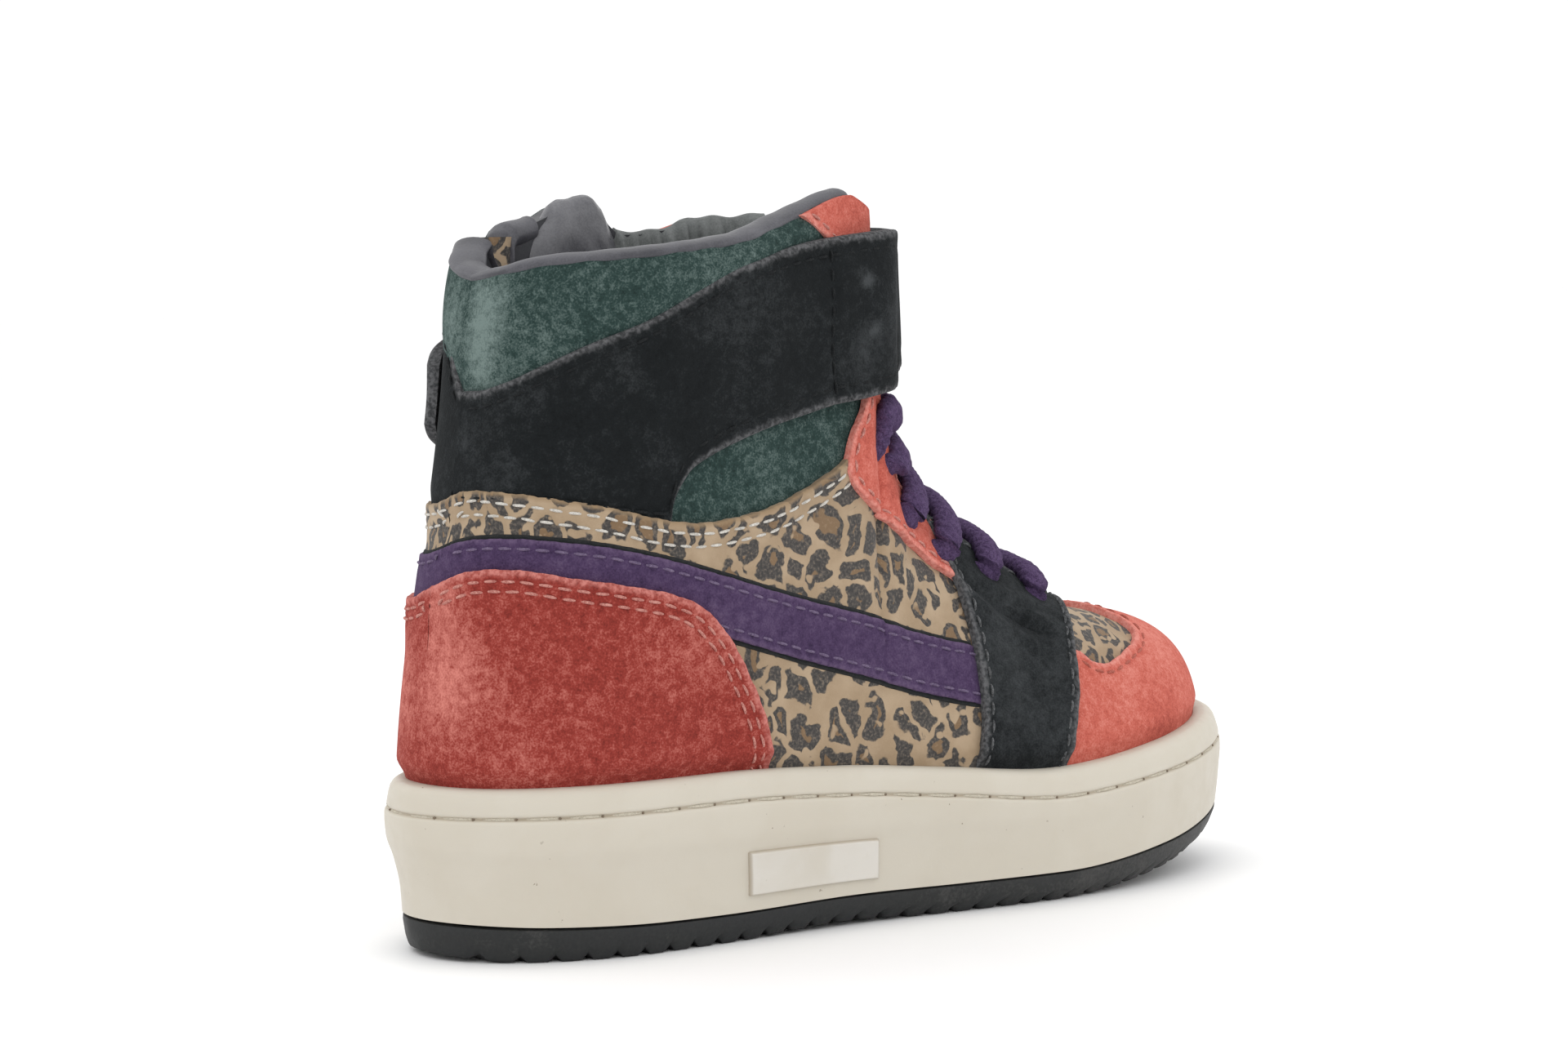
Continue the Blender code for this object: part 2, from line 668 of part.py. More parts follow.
def lace_route():
    """The lace's bars over the throat, joined at alternate sides by a run along the eyestay."""
    lift = LACE_RADIUS + LACE_CLEARANCE
    route = []
    for k, z in enumerate(np.linspace(LACE_TOP, LACE_BOTTOM, LACE_ROWS)):
        s = float(ridge_at(z))
        half = throat_half(on_last(OUTER, np.array([s]), np.ones(1))[0, 0]) + EYELET_INSET
        bar = []
        for y in np.linspace(-half, half, LACE_STEPS):
            side = INNER if y > 0 else OUTER
            bar.append(across_ridge(side, s, abs(y), lift))
        route += bar if k % 2 == 0 else bar[::-1]
    return np.array(route)


def smooth_route(points, spacing):
    """Points at an even spacing along a smooth curve through the route."""
    run = np.concatenate([[0.0], np.cumsum(np.linalg.norm(np.diff(points, axis=0), axis=1))])
    at = np.linspace(0.0, run[-1], int(run[-1] / spacing))
    return np.stack([through(run, points[:, k], at) for k in range(3)], -1)


def make_lace(parent):
    curve = bpy.data.curves.new("lace", "CURVE")
    curve.dimensions = "3D"
    curve.bevel_depth = LACE_RADIUS * MM
    curve.bevel_resolution = LACE_ROUNDNESS
    curve.use_fill_caps = True
    route = smooth_route(lace_route(), LACE_SPACING)
    spline = curve.splines.new("POLY")
    spline.points.add(len(route) - 1)
    for knot, place in zip(spline.points, route):
        knot.co = (*(place * MM), 1.0)
    return piece("lace", curve, "lace_cord", parent)


def main():
    clear_scene()
    shoe = bpy.data.objects.new("shoe", None)
    bpy.context.scene.collection.objects.link(shoe)
    share = np.linspace(0.0, 1.0, FINE_STEPS)
    widest = np.concatenate([plan_point(side, share, 0.0, 0.0)[1] for side in SIDES])
    middle_y = (widest.min() + widest.max()) / 2.0
    shoe.location = (-SOLE_LENGTH / 2.0 * MM, -middle_y * MM, 0.0)
    make_outsole(shoe)
    make_midsole(shoe)
    make_insole(shoe)
    make_upper(shoe)
    make_tongue(shoe)
    overlay("heel_counter", HEEL_COUNTER, "coral_suede", shoe)
    overlay("toe_cap", TOE_CAP, "coral_suede", shoe)
    make_strap(shoe)
    make_lace(shoe)


main()
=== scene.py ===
"""Looks of a child's high-top sneaker: sewn suede panels, stitches, laces, lining and a moulded cup sole.

Sizes are in millimetres in the shoe's drawing frame: zero on the floor under the back of the heel, +X to
the toe, -Y to the outer side, +Z up. Meshes are moved into the part's frame, in metres, as they are made.
A place on the upper is given as round, the length along the feather line from the back of the heel, and
rise, the length up the rib that stands there.
"""

import math
from collections import namedtuple

import bmesh
import bpy
import numpy as np
from mathutils import Matrix, Vector
from mathutils.geometry import delaunay_2d_cdt
from mathutils.kdtree import KDTree


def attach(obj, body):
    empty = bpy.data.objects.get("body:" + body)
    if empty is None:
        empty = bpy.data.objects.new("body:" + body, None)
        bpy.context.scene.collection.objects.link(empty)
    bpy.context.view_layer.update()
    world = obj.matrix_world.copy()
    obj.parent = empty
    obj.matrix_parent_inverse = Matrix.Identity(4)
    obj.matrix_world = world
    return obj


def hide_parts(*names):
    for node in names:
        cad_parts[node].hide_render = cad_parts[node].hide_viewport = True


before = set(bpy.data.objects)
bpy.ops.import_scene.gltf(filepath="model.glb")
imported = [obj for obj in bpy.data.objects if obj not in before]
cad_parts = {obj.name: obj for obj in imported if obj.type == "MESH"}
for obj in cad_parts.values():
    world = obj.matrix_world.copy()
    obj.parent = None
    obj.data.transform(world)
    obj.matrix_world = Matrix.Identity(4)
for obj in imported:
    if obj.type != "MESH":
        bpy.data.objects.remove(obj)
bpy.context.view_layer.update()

MM = 0.001
OUTER, INNER = -1.0, 1.0
SIDES = (OUTER, INNER)


def table(names, *rows):
    """Rows whose columns have names."""
    row_kind = namedtuple("Row", names)
    return tuple(row_kind(*row) for row in rows)


# Sizes and tables of the last and the sole. They are those of the part, except for one rib of the far
# collar, where the part's top line dips and here the collar's split is cut later.
SOLE_LENGTH = 185.0
GAP = 0.3
FEATHER_INSET = 4.6
WALL_THICKNESS = 2.4
TONGUE_THICKNESS = 4.0
TONGUE_CLEARANCE = 3.2
TONGUE_TAPER, TONGUE_SET_BACK = 0.9, 2.0
STRAP_THICKNESS = 2.2
LACE_ROWS = 6
LACE_TOP, LACE_BOTTOM = 91.0, 57.5
EYELET_INSET = 4.0
TOOTH_PITCH = 5.2
TOOTH_DEPTH = 1.1
TOOTH_CREST, TOOTH_VALLEY = 0.55, 0.8
TOE_SWING = 3.0
TOE_SWING_START = 110.0
HEEL_ROUND, SOLE_HEEL_POWER, LAST_HEEL_POWER = 34.0, 1.95, 2.3
TOE_ROUND, TOE_POWER = 50.0, 2.2

SOLE_PLAN = table(
    "x outer inner",
    (0, 27.0, 27.0),
    (30, 28.0, 28.0),
    (78, 29.5, 26.5),
    (128, 35.0, 35.5),
    (185, 32.5, 34.5),
)

SOLE_HEIGHTS = table(
    "x top floor joint tread",
    (0, 30.0, 16.0, 7.0, 1.6),
    (14, 30.0, 15.6, 6.2, 0.0),
    (50, 30.0, 14.5, 5.4, 0.0),
    (75, 28.8, 13.4, 5.8, 0.8),
    (98, 26.6, 12.2, 5.6, 0.0),
    (122, 24.4, 11.5, 5.6, 0.0),
    (150, 26.4, 13.0, 8.0, 2.2),
    (185, 30.4, 18.0, 13.8, 8.5),
)

CUP_WALL = table(
    "level heel toe",
    (0.00, 2.6, 0.9),
    (0.20, 2.3, 0.5),
    (0.42, 1.3, 0.2),
    (0.58, 0.2, 0.0),
    (0.72, 0.0, 0.0),
    (0.86, 0.4, 0.5),
    (0.95, 0.9, 1.1),
    (1.00, 1.8, 2.2),
)
Inset = namedtuple("Inset", "heel toe")
TREAD_INSET = Inset(0.8, 3.0)
SHOULDER_INSET = Inset(0.3, 0.9)

RIBS = table(
    "sole x half top inner_top lean low high pad",
    (0, 17.0, 0.0, 116.3, 116.3, 0, 0.42, 0.35, 2.6),
    (4, 18.0, 7.0, 117.3, 118.0, 0, 0.42, 0.35, 2.6),
    (13, 22.5, 14.0, 118.8, 121.0, 0, 0.42, 0.35, 2.8),
    (26, 31.0, 19.8, 119.5, 125.0, 0, 0.40, 0.35, 3.0),
    (42, 43.0, 23.3, 120.5, 127.5, 0, 0.38, 0.35, 3.0),
    (58, 56.5, 23.2, 122.0, 130.0, 0, 0.37, 0.33, 2.8),
    (69, 69.0, 20.8, 125.5, 126.0, 0, 0.37, 0.31, 2.0),
    (77, 83.0, 17.0, 129.5, 127.0, 4, 0.37, 0.27, 0.8),
    (82, 93.0, 11.5, 130.5, 128.5, 12, 0.38, 0.20, 0.0),
    (86, 98.0, 0.0, 130.0, 130.0, 40, 0.39, 0.12, 0.0),
    (90, 97.0, 0.0, 114.0, 114.0, 76, 0.41, 0.11, 0.0),
    (95, 96.0, 0.0, 98.0, 98.0, 87, 0.43, 0.12, 0.0),
    (102, 101.5, 0.0, 82.0, 82.0, 90, 0.45, 0.16, 0.0),
    (111, 115.5, 0.0, 68.5, 68.5, 90, 0.47, 0.25, 0.0),
    (124, 132.0, 0.0, 57.5, 57.5, 90, 0.49, 0.36, 0.0),
    (140, 144.0, 0.0, 51.5, 51.5, 90, 0.51, 0.42, 0.0),
    (157, 154.5, 0.0, 49.4, 49.4, 90, 0.52, 0.45, 0.0),
    (173, 161.5, 0.0, 48.0, 48.0, 90, 0.52, 0.46, 0.0),
    (185, 164.5, 0.0, 47.2, 47.2, 90, 0.52, 0.46, 0.0),
)
PAD_FROM, PAD_FULL = 84.0, 106.0
RIDGE_FROM, RIDGE_FULL = 0.55, 0.62
STEEPEST = -4.0
TINY = 1e-6

THROAT = table(
    "x half",
    (80, 13.0),
    (92, 12.5),
    (100, 11.0),
    (114, 10.0),
    (131, 9.0),
)
VAMP_POINT = 142.0

TONGUE = table(
    "ridge half",
    (52, 9.0),
    (57, 12.0),
    (68, 14.0),
    (82, 14.0),
    (98, 13.0),
    (112, 12.0),
)

# The strap by its place round the ankle. It has more rows than the part's, for the curved lower edge in front
# of its wide back, and its lower edge lies up to 6 mm lower at the heel.
STRAP = table(
    "side round low high stand",
    (OUTER, 0.000, 76.0, 97.0, 0.4),
    (OUTER, 0.030, 76.0, 97.1, 0.4),
    (OUTER, 0.084, 76.0, 98.5, 0.4),
    (OUTER, 0.139, 76.0, 101.0, 0.4),
    (OUTER, 0.223, 74.5, 105.0, 0.4),
    (OUTER, 0.304, 73.0, 108.2, 0.4),
    (OUTER, 0.342, 72.5, 110.2, 0.4),
    (OUTER, 0.352, 77.0, 110.8, 0.4),
    (OUTER, 0.363, 79.8, 111.4, 0.4),
    (OUTER, 0.384, 82.8, 112.5, 0.4),
    (OUTER, 0.424, 85.0, 114.6, 0.4),
    (OUTER, 0.467, 86.7, 116.6, 0.4),
    (OUTER, 0.537, 89.2, 118.8, 0.6),
    (OUTER, 0.613, 91.0, 120.7, 0.9),
    (OUTER, 0.691, 92.6, 122.0, 1.4),
    (OUTER, 0.780, 93.6, 123.0, 2.6),
    (OUTER, 0.860, 95.2, 123.6, 4.6),
    (OUTER, 0.920, 98.6, 123.6, 6.0),
    (OUTER, 0.960, 100.2, 123.8, 6.6),
    (INNER, 1.00, 99.5, 124.0, 6.6),
    (INNER, 0.86, 94.0, 122.5, 3.8),
    (INNER, 0.70, 90.0, 119.0, 1.0),
    (INNER, 0.50, 86.5, 114.0, 0.8),
    (INNER, 0.30, 84.5, 109.0, 1.2),
    (INNER, 0.22, 85.5, 106.5, 1.6),
    (INNER, 0.16, 88.0, 104.0, 2.0),
    (INNER, 0.13, 91.0, 101.0, 2.2),
)
STRAP_UPRIGHT = (0.60, 0.88)

GIRTH_STEPS = 160
FAN_STEPS = 90
FAN_BACK, FAN_AHEAD = 0.16, 0.12
FINE_STEPS = 801
HALVINGS = 30
SLOPE = 0.004
ROW_SHARES = np.linspace(0.0, 1.0, len(RIBS))
FRONT_SHARE = ROW_SHARES[[row.half for row in RIBS].index(0.0, 1)]


def column(rows, name):
    return np.array([getattr(row, name) for row in rows], float)


def through(xs, ys, x):
    """The value at x of a smooth curve through the points, which never swings past them."""
    step = np.diff(xs)
    slope = np.diff(ys) / step
    tangent = np.empty(len(xs))
    tangent[0], tangent[-1] = slope[0], slope[-1]
    product = slope[:-1] * slope[1:]
    total = slope[:-1] + slope[1:]
    level = product <= 0
    tangent[1:-1] = np.where(level, 0.0, 2.0 * product / np.where(level, 1.0, total))
    x = np.clip(np.asarray(x, float), xs[0], xs[-1])
    i = np.clip(np.searchsorted(xs, x, side="right") - 1, 0, len(xs) - 2)
    h = step[i]
    q = (x - xs[i]) / h
    rise = q * q * (3.0 - 2.0 * q)
    return (
        ys[i] + (ys[i + 1] - ys[i]) * rise
        + h * tangent[i] * q * (1.0 - q) ** 2
        - h * tangent[i + 1] * q * q * (1.0 - q)
    )


def look_up(rows, name, x):
    return through(column(rows, rows[0]._fields[0]), column(rows, name), x)


def smooth_step(low, high, x):
    q = np.clip((np.asarray(x, float) - low) / (high - low), 0.0, 1.0)
    return q * q * (3.0 - 2.0 * q)


def bell(x, width):
    return np.exp(-((np.asarray(x, float) / width) ** 2))


def lengths_along(points):
    """The length from the first point to each of them."""
    steps = np.linalg.norm(np.diff(points, axis=0), axis=1)
    return np.concatenate([[0.0], np.cumsum(steps)])


def unit(vectors):
    """The vectors' directions, with length 1."""
    return vectors / np.linalg.norm(vectors, axis=-1)[..., None]


def rounded_by(distance, radius):
    """How far a rounded edge falls away at a distance from the edge."""
    return radius * (1.0 - np.sqrt(1.0 - np.clip(1.0 - distance / radius, 0.0, 1.0) ** 2))


def round_end(distance, reach, power):
    """The share of full width at a distance from a rounded end."""
    q = 1.0 - np.clip(distance / reach, 0.0, 1.0)
    return np.maximum(1.0 - q**power, 0.0) ** (1.0 / power)


def centre_line(x):
    """How far the middle of the foot swings to the inner side."""
    q = np.clip((np.asarray(x, float) - TOE_SWING_START) / (SOLE_LENGTH - TOE_SWING_START), 0.0, None)
    return TOE_SWING * q * q


def share_of(x):
    """The place along the sole as a share of a half turn, so that both ends come out round."""
    return np.arccos(np.clip(1.0 - 2.0 * np.asarray(x, float) / SOLE_LENGTH, -1.0, 1.0)) / math.pi


def plan_point(side, share, heel_inset, toe_inset, heel_power=SOLE_HEEL_POWER):
    """A point of the sole's plan, lying inside its widest line by the insets given for heel and toe."""
    along = (1.0 - np.cos(math.pi * np.asarray(share, float))) / 2.0
    x = heel_inset + (SOLE_LENGTH - heel_inset - toe_inset) * along
    half = look_up(SOLE_PLAN, "outer" if side == OUTER else "inner", x)
    half = half - (heel_inset + (toe_inset - heel_inset) * along)
    half = half * round_end(x - heel_inset, HEEL_ROUND, heel_power)
    half = half * round_end(SOLE_LENGTH - toe_inset - x, TOE_ROUND, TOE_POWER)
    return x, centre_line(x) + side * half


def plan_share(s):
    """The place on the sole's plan at which the rib at s stands."""
    return through(ROW_SHARES, share_of(column(RIBS, "sole")), s)


def rib_handles(side, s):
    """The four handles of the rib at s, where s runs from 0 at the heel to 1 at the toe."""
    s = np.asarray(s, float)

    def value(name, at=s):
        return through(ROW_SHARES, column(RIBS, name), at)

    foot_x, foot_y = plan_point(side, plan_share(s), FEATHER_INSET, FEATHER_INSET, LAST_HEEL_POWER)
    foot = np.stack([foot_x, foot_y, look_up(SOLE_HEIGHTS, "floor", foot_x) + GAP], -1)

    top_z = value("top" if side == OUTER else "inner_top")
    top_x = value("x")
    top = np.stack([top_x, centre_line(top_x) + side * value("half"), top_z], -1)

    span = np.linalg.norm(top - foot, axis=-1)[..., None]
    across = top - foot
    across[..., 2] = 0.0
    across = across / np.maximum(np.linalg.norm(across, axis=-1), TINY)[..., None]
    fall = value("top") - value("top", s - SLOPE)
    ahead = np.maximum(top_x - value("x", s - SLOPE), TINY)
    ridge = smooth_step(RIDGE_FROM, RIDGE_FULL, s)
    across[..., 2] = across[..., 0] * np.maximum(fall / ahead, STEEPEST) * ridge
    lean = np.radians(value("lean"))[..., None]
    arrive = np.cos(lean) * np.array([0.0, 0.0, 1.0]) + np.sin(lean) * across

    rise = foot + np.array([0.0, 0.0, 1.0]) * value("low")[..., None] * span
    reach = top - arrive * value("high")[..., None] * span
    return foot, rise, reach, top


def on_last(side, s, t):
    """A point of the upper's outer surface: t runs up the rib at s, from the sole to the top line."""
    foot, rise, reach, top = rib_handles(side, s)
    t = np.asarray(t, float)[..., None]
    r = 1.0 - t
    return r**3 * foot + 3 * r * r * t * rise + 3 * r * t * t * reach + t**3 * top


def normal_at(side, s, t):
    """The outward direction there, from small steps along and across the rib."""
    s = np.clip(s, SLOPE, 1.0 - SLOPE)
    t = np.clip(t, SLOPE, 1.0 - SLOPE)
    along = on_last(side, s + SLOPE, t) - on_last(side, s - SLOPE, t)
    up = on_last(side, s, t + SLOPE) - on_last(side, s, t - SLOPE)
    return unit(np.cross(along, up) * -side)


def on_ridge(s):
    """Whether the rib at s ends on the ridge of the instep, rather than on the collar."""
    return np.asarray(s, float) >= FRONT_SHARE - TINY


def shared_normal(side, s, t):
    """The outward direction, the same from both sides where they meet."""
    n = normal_at(side, s, t)
    shared = (s <= 0.0) | (s >= 1.0) | ((t >= 1.0) & on_ridge(s))
    middle = n + normal_at(-side, s, t)
    middle[..., 1] = np.where(s >= 1.0, middle[..., 1], 0.0)
    return np.where(shared[..., None], unit(middle), n)


def off_last(side, s, t, distance):
    """A point at a distance outside the upper's outer surface."""
    s, t = np.broadcast_arrays(np.asarray(s, float), np.asarray(t, float))
    return on_last(side, s, t) + shared_normal(side, s, t) * np.asarray(distance, float)[..., None]


def share_where(side, s, holds):
    """The share t up to which a condition on the point holds, along each rib."""
    low, high = np.zeros(np.shape(s)), np.ones(np.shape(s))
    for _ in range(HALVINGS):
        middle = (low + high) / 2.0
        true = holds(on_last(side, s, middle))
        low = np.where(true, middle, low)
        high = np.where(true, high, middle)
    return (low + high) / 2.0


def height_share(side, s, z):
    """The share t at which the rib at s reaches the height z."""
    return share_where(side, s, lambda point: point[..., 2] < z)


def width_share(side, s, half):
    """The share t at which the rib at s comes within half of the middle of the foot."""
    return share_where(side, s, lambda p: np.abs(p[..., 1] - centre_line(p[..., 0])) > half)


def throat_half(x):
    """Half the throat's width where the ridge is at x."""
    first, last = THROAT[0], THROAT[-1]
    x = np.asarray(x, float)
    taper = np.clip((x - last.x) / (VAMP_POINT - last.x), 0.0, 1.0)
    return np.where(x < first.x, 0.0, look_up(THROAT, "half", x) * np.sqrt(1.0 - taper**2))


def edge_share(side, s):
    """The share t at which the upper ends on each rib: the collar, the throat's edge or the ridge."""
    s = np.asarray(s, float)
    top = on_last(side, s, np.ones(s.shape))
    half = throat_half(top[..., 0])
    whole = np.abs(top[..., 1] - centre_line(top[..., 0])) >= half
    return np.where(whole, 1.0, width_share(side, s, half))


def wall_at(s, z):
    """Thickness of the upper's wall, padded towards the collar."""
    pad = through(ROW_SHARES, column(RIBS, "pad"), s)
    return WALL_THICKNESS + pad * smooth_step(PAD_FROM, PAD_FULL, z)


def ridge_at(z):
    """The rib that ends on the ridge at the height z."""
    fine = np.linspace(FRONT_SHARE, 1.0, FINE_STEPS)
    return np.interp(-z, -through(ROW_SHARES, column(RIBS, "top"), fine), fine)


def girth(side, z):
    """The upper's outline at the height z, from the back to the ridge, with its outward directions."""
    s = np.linspace(0.0, ridge_at(z), GIRTH_STEPS)
    points = on_last(side, s, height_share(side, s, np.full(GIRTH_STEPS, z)))
    ahead = np.gradient(points, axis=0)
    ahead[[0, -1], 0] = 0.0
    normals = np.stack([ahead[:, 1], -ahead[:, 0], np.zeros(GIRTH_STEPS)], -1) * -side
    return points, unit(normals)


def across_ridge(side, s, halves, lifts):
    """Points off the upper at half widths, in the plane that cuts the ridge squarely at the rib s."""
    one = np.ones(1)
    ridge = on_last(side, np.array([s]), one)[0]
    ahead = on_last(side, np.array([s + SLOPE]), one)[0] - on_last(side, np.array([s - SLOPE]), one)[0]
    halves = np.asarray(halves, float)
    fan = np.linspace(s - FAN_BACK, s + FAN_AHEAD, FAN_STEPS)
    fans = np.broadcast_to(fan, (len(halves), FAN_STEPS))
    points = on_last(side, fans, width_share(side, fans, halves[:, None]))
    ribs = np.array([np.interp(0.0, row, fan) for row in (points - ridge) @ ahead])
    return off_last(side, ribs, width_share(side, ribs, halves), np.asarray(lifts, float))


# The chart of the upper: lengths along the feather line and up each rib
CHART_RIBS, CHART_STEPS = 601, 161
CHART_SHARES = np.linspace(0.0, 1.0, CHART_RIBS)
ROUNDS = lengths_along(on_last(OUTER, CHART_SHARES, np.zeros(CHART_RIBS)))
TOE_END = ROUNDS[-1]
TOP = 999.0

# Rounds and the heights to which the collar is cut down there: its front corners, and the inner side's split
NO_CUT = 140.0
COLLAR_CUT = {
    OUTER: (
        (0, NO_CUT), (83, NO_CUT), (83.5, 130.8), (87, 129.6), (90, 127.2),
        (93, 123.5), (96, 118.0), (98, NO_CUT),
    ),
    INNER: (
        (0, NO_CUT), (27, NO_CUT), (27.5, 121.0), (33, 117.5), (36, 114.2),
        (38.4, 114.0), (39.4, 117.0), (40.4, 123.0), (42.5, 124.6), (50, 125.6),
        (54, 126.6), (58, 128.4), (62, 129.2), (66, 128.6), (68, 127.0),
        (70, 125.0), (72, 123.4), (76, 123.4), (80, 124.4), (82, 125.6),
        (90, 126.5), (96, 118.0), (98, NO_CUT),
    ),
}


def rib_lengths(side):
    """The length up each rib of the chart at even shares t."""
    s, t = np.meshgrid(CHART_SHARES, np.linspace(0.0, 1.0, CHART_STEPS), indexing="ij")
    steps = np.linalg.norm(np.diff(on_last(side, s, t), axis=1), axis=2)
    return np.concatenate([np.zeros((CHART_RIBS, 1)), np.cumsum(steps, axis=1)], axis=1)


def cut_share(side, s):
    """The share t at which the upper ends, with its collar cut down where the cut rows say so."""
    s = np.asarray(s, float)
    edge = edge_share(side, s)
    cut = np.array(COLLAR_CUT[side], float)
    height = np.interp(np.interp(s, CHART_SHARES, ROUNDS), cut[:, 0], cut[:, 1])
    over = on_last(side, s, edge)[..., 2] > height
    return np.where(over, np.minimum(edge, height_share(side, s, height)), edge)


def edge_lengths(side):
    """The length of each rib of the chart up to the upper's own edge."""
    at = cut_share(side, CHART_SHARES) * (CHART_STEPS - 1)
    steps = np.arange(CHART_STEPS)
    return np.array([np.interp(a, steps, rib) for a, rib in zip(at, RIB_LENGTHS[side])])


RIB_LENGTHS = {side: rib_lengths(side) for side in SIDES}
EDGE_LENGTHS = {side: edge_lengths(side) for side in SIDES}


def top_rise(side, rounds):
    return np.interp(rounds, ROUNDS, EDGE_LENGTHS[side])


def shares_at(side, places):
    """The shares s and t of places given by round and rise."""
    s = np.interp(places[:, 0], ROUNDS, CHART_SHARES)
    at = s * (CHART_RIBS - 1)
    i = np.minimum(at.astype(int), CHART_RIBS - 2)
    part = (at - i)[:, None]
    ribs = RIB_LENGTHS[side][i] * (1.0 - part) + RIB_LENGTHS[side][i + 1] * part
    rise = np.clip(places[:, 1], 0.0, ribs[:, -1])
    j = np.clip((ribs < rise[:, None]).sum(axis=1) - 1, 0, CHART_STEPS - 2)
    row = np.arange(len(places))
    low, high = ribs[row, j], ribs[row, j + 1]
    t = (j + (rise - low) / (high - low)) / (CHART_STEPS - 1)
    return s, np.where(rise >= ribs[:, -1], 1.0, np.clip(t, 0.0, 1.0))


def on_upper(side, places, height=0.0):
    """Points off the upper at places given by round and rise."""
    s, t = shares_at(side, places)
    return off_last(side, s, t, np.broadcast_to(height, s.shape))


# Shader building
def new_material(name):
    made = bpy.data.materials.new(name)
    made.use_nodes = True
    return made, made.node_tree, made.node_tree.nodes["Principled BSDF"]


def connect(tree, node, values):
    """Sets a node's inputs, given as numbers or as other nodes' outputs."""
    for name, value in values.items():
        if isinstance(value, bpy.types.NodeSocket):
            tree.links.new(value, node.inputs[name])
        else:
            node.inputs[name].default_value = value


def add(tree, kind, values, **settings):
    node = tree.nodes.new(kind)
    for name, setting in settings.items():
        setattr(node, name, setting)
    connect(tree, node, values)
    return node


def vector_node(tree, operation, values):
    return add(tree, "ShaderNodeVectorMath", values, operation=operation).outputs[0]


def spot(tree):
    """The place on the object, in millimetres."""
    at = add(tree, "ShaderNodeTexCoord", {}).outputs["Object"]
    return vector_node(tree, "SCALE", {0: at, "Scale": 1.0 / MM})


def attribute(tree, name, output="Fac"):
    return add(tree, "ShaderNodeAttribute", {}, attribute_name=name).outputs[output]


def noise(tree, at, size, detail=2.0, distortion=0.0):
    """Cloudy variation with lumps of about the given size in millimetres."""
    values = {"Vector": at, "Scale": 1.0 / size, "Detail": detail, "Distortion": distortion}
    return add(tree, "ShaderNodeTexNoise", values).outputs["Fac"]


def math_node(tree, operation, a, b=0.0, c=0.0):
    return add(tree, "ShaderNodeMath", {0: a, 1: b, 2: c}, operation=operation).outputs[0]


def span(tree, value, low, high, to_low=0.0, to_high=1.0):
    """The value spread smoothly from one range to another."""
    values = {"Value": value, "From Min": low, "From Max": high, "To Min": to_low, "To Max": to_high}
    return add(tree, "ShaderNodeMapRange", values, interpolation_type="SMOOTHSTEP").outputs["Result"]


def mix(tree, share, first, second):
    made = add(tree, "ShaderNodeMix", {"Factor": share}, data_type="RGBA")
    for name, value in (("A", first), ("B", second)):
        socket = [s for s in made.inputs if s.name == name and s.type == "RGBA"][0]
        if isinstance(value, bpy.types.NodeSocket):
            tree.links.new(value, socket)
        else:
            socket.default_value = (*value, 1.0)
    return [s for s in made.outputs if s.type == "RGBA"][0]


def ramp(tree, value, stops):
    """A colour ramp: stops are rows of a position and a colour."""
    made = add(tree, "ShaderNodeValToRGB", {"Fac": value})
    band = made.color_ramp
    for k, (position, colour) in enumerate(stops):
        stop = band.elements[k] if k < 2 else band.elements.new(position)
        stop.position = position
        stop.color = (*colour, 1.0)
    return made.outputs["Color"]


def bump(tree, height, strength, distance):
    values = {"Height": height, "Strength": strength, "Distance": distance * MM}
    return add(tree, "ShaderNodeBump", values).outputs["Normal"]


def weighted(tree, terms):
    """The sum of values times their weights, with each value counted from its middle at 0.5."""
    total = None
    for value, weight in terms:
        step = math_node(tree, "MULTIPLY_ADD", value, weight, -0.5 * weight)
        total = step if total is None else math_node(tree, "ADD", total, step)
    return total


Suede = namedtuple("Suede", "deep mid pale edge patchy grainy fuzz")
SUEDES = {
    "coral_suede": Suede(
        (0.145, 0.019, 0.015), (0.268, 0.038, 0.029), (0.58, 0.195, 0.160), (0.58, 0.22, 0.19),
        0.28, 0.75, 1.3,
    ),
    # Painted light: the coral suede of the toe cap and eyestay is painted paler than the counter's, for the
    # stronger light on the toe side.
    "lit_coral_suede": Suede(
        (0.30, 0.052, 0.038), (0.49, 0.110, 0.080), (0.70, 0.27, 0.22), (0.68, 0.28, 0.235),
        0.28, 0.7, 1.1,
    ),
    "purple_suede": Suede(
        (0.025, 0.014, 0.040), (0.061, 0.036, 0.087), (0.135, 0.095, 0.165), (0.12, 0.08, 0.15),
        0.4, 0.6, 0.9,
    ),
    "black_suede": Suede(
        (0.0050, 0.0060, 0.0066), (0.0095, 0.0112, 0.0122), (0.046, 0.050, 0.053), (0.13, 0.13, 0.135),
        0.6, 0.5, 1.3,
    ),
    "green_suede": Suede(
        (0.010, 0.020, 0.018), (0.024, 0.046, 0.042), (0.150, 0.200, 0.187), (0.06, 0.085, 0.08),
        0.25, 0.75, 0.8,
    ),
    "underlay_suede": Suede(
        (0.008, 0.009, 0.010), (0.016, 0.018, 0.019), (0.035, 0.038, 0.040), (0.03, 0.03, 0.03),
        0.4, 0.4, 0.5,
    ),
}
PATCH_SIZE, NAP_SIZE, GRAIN_SIZE, EDGE_FLECK_SIZE = 11.0, 1.5, 0.34, 0.7
MID_SHADE, EDGE_PALE = 0.45, 0.85


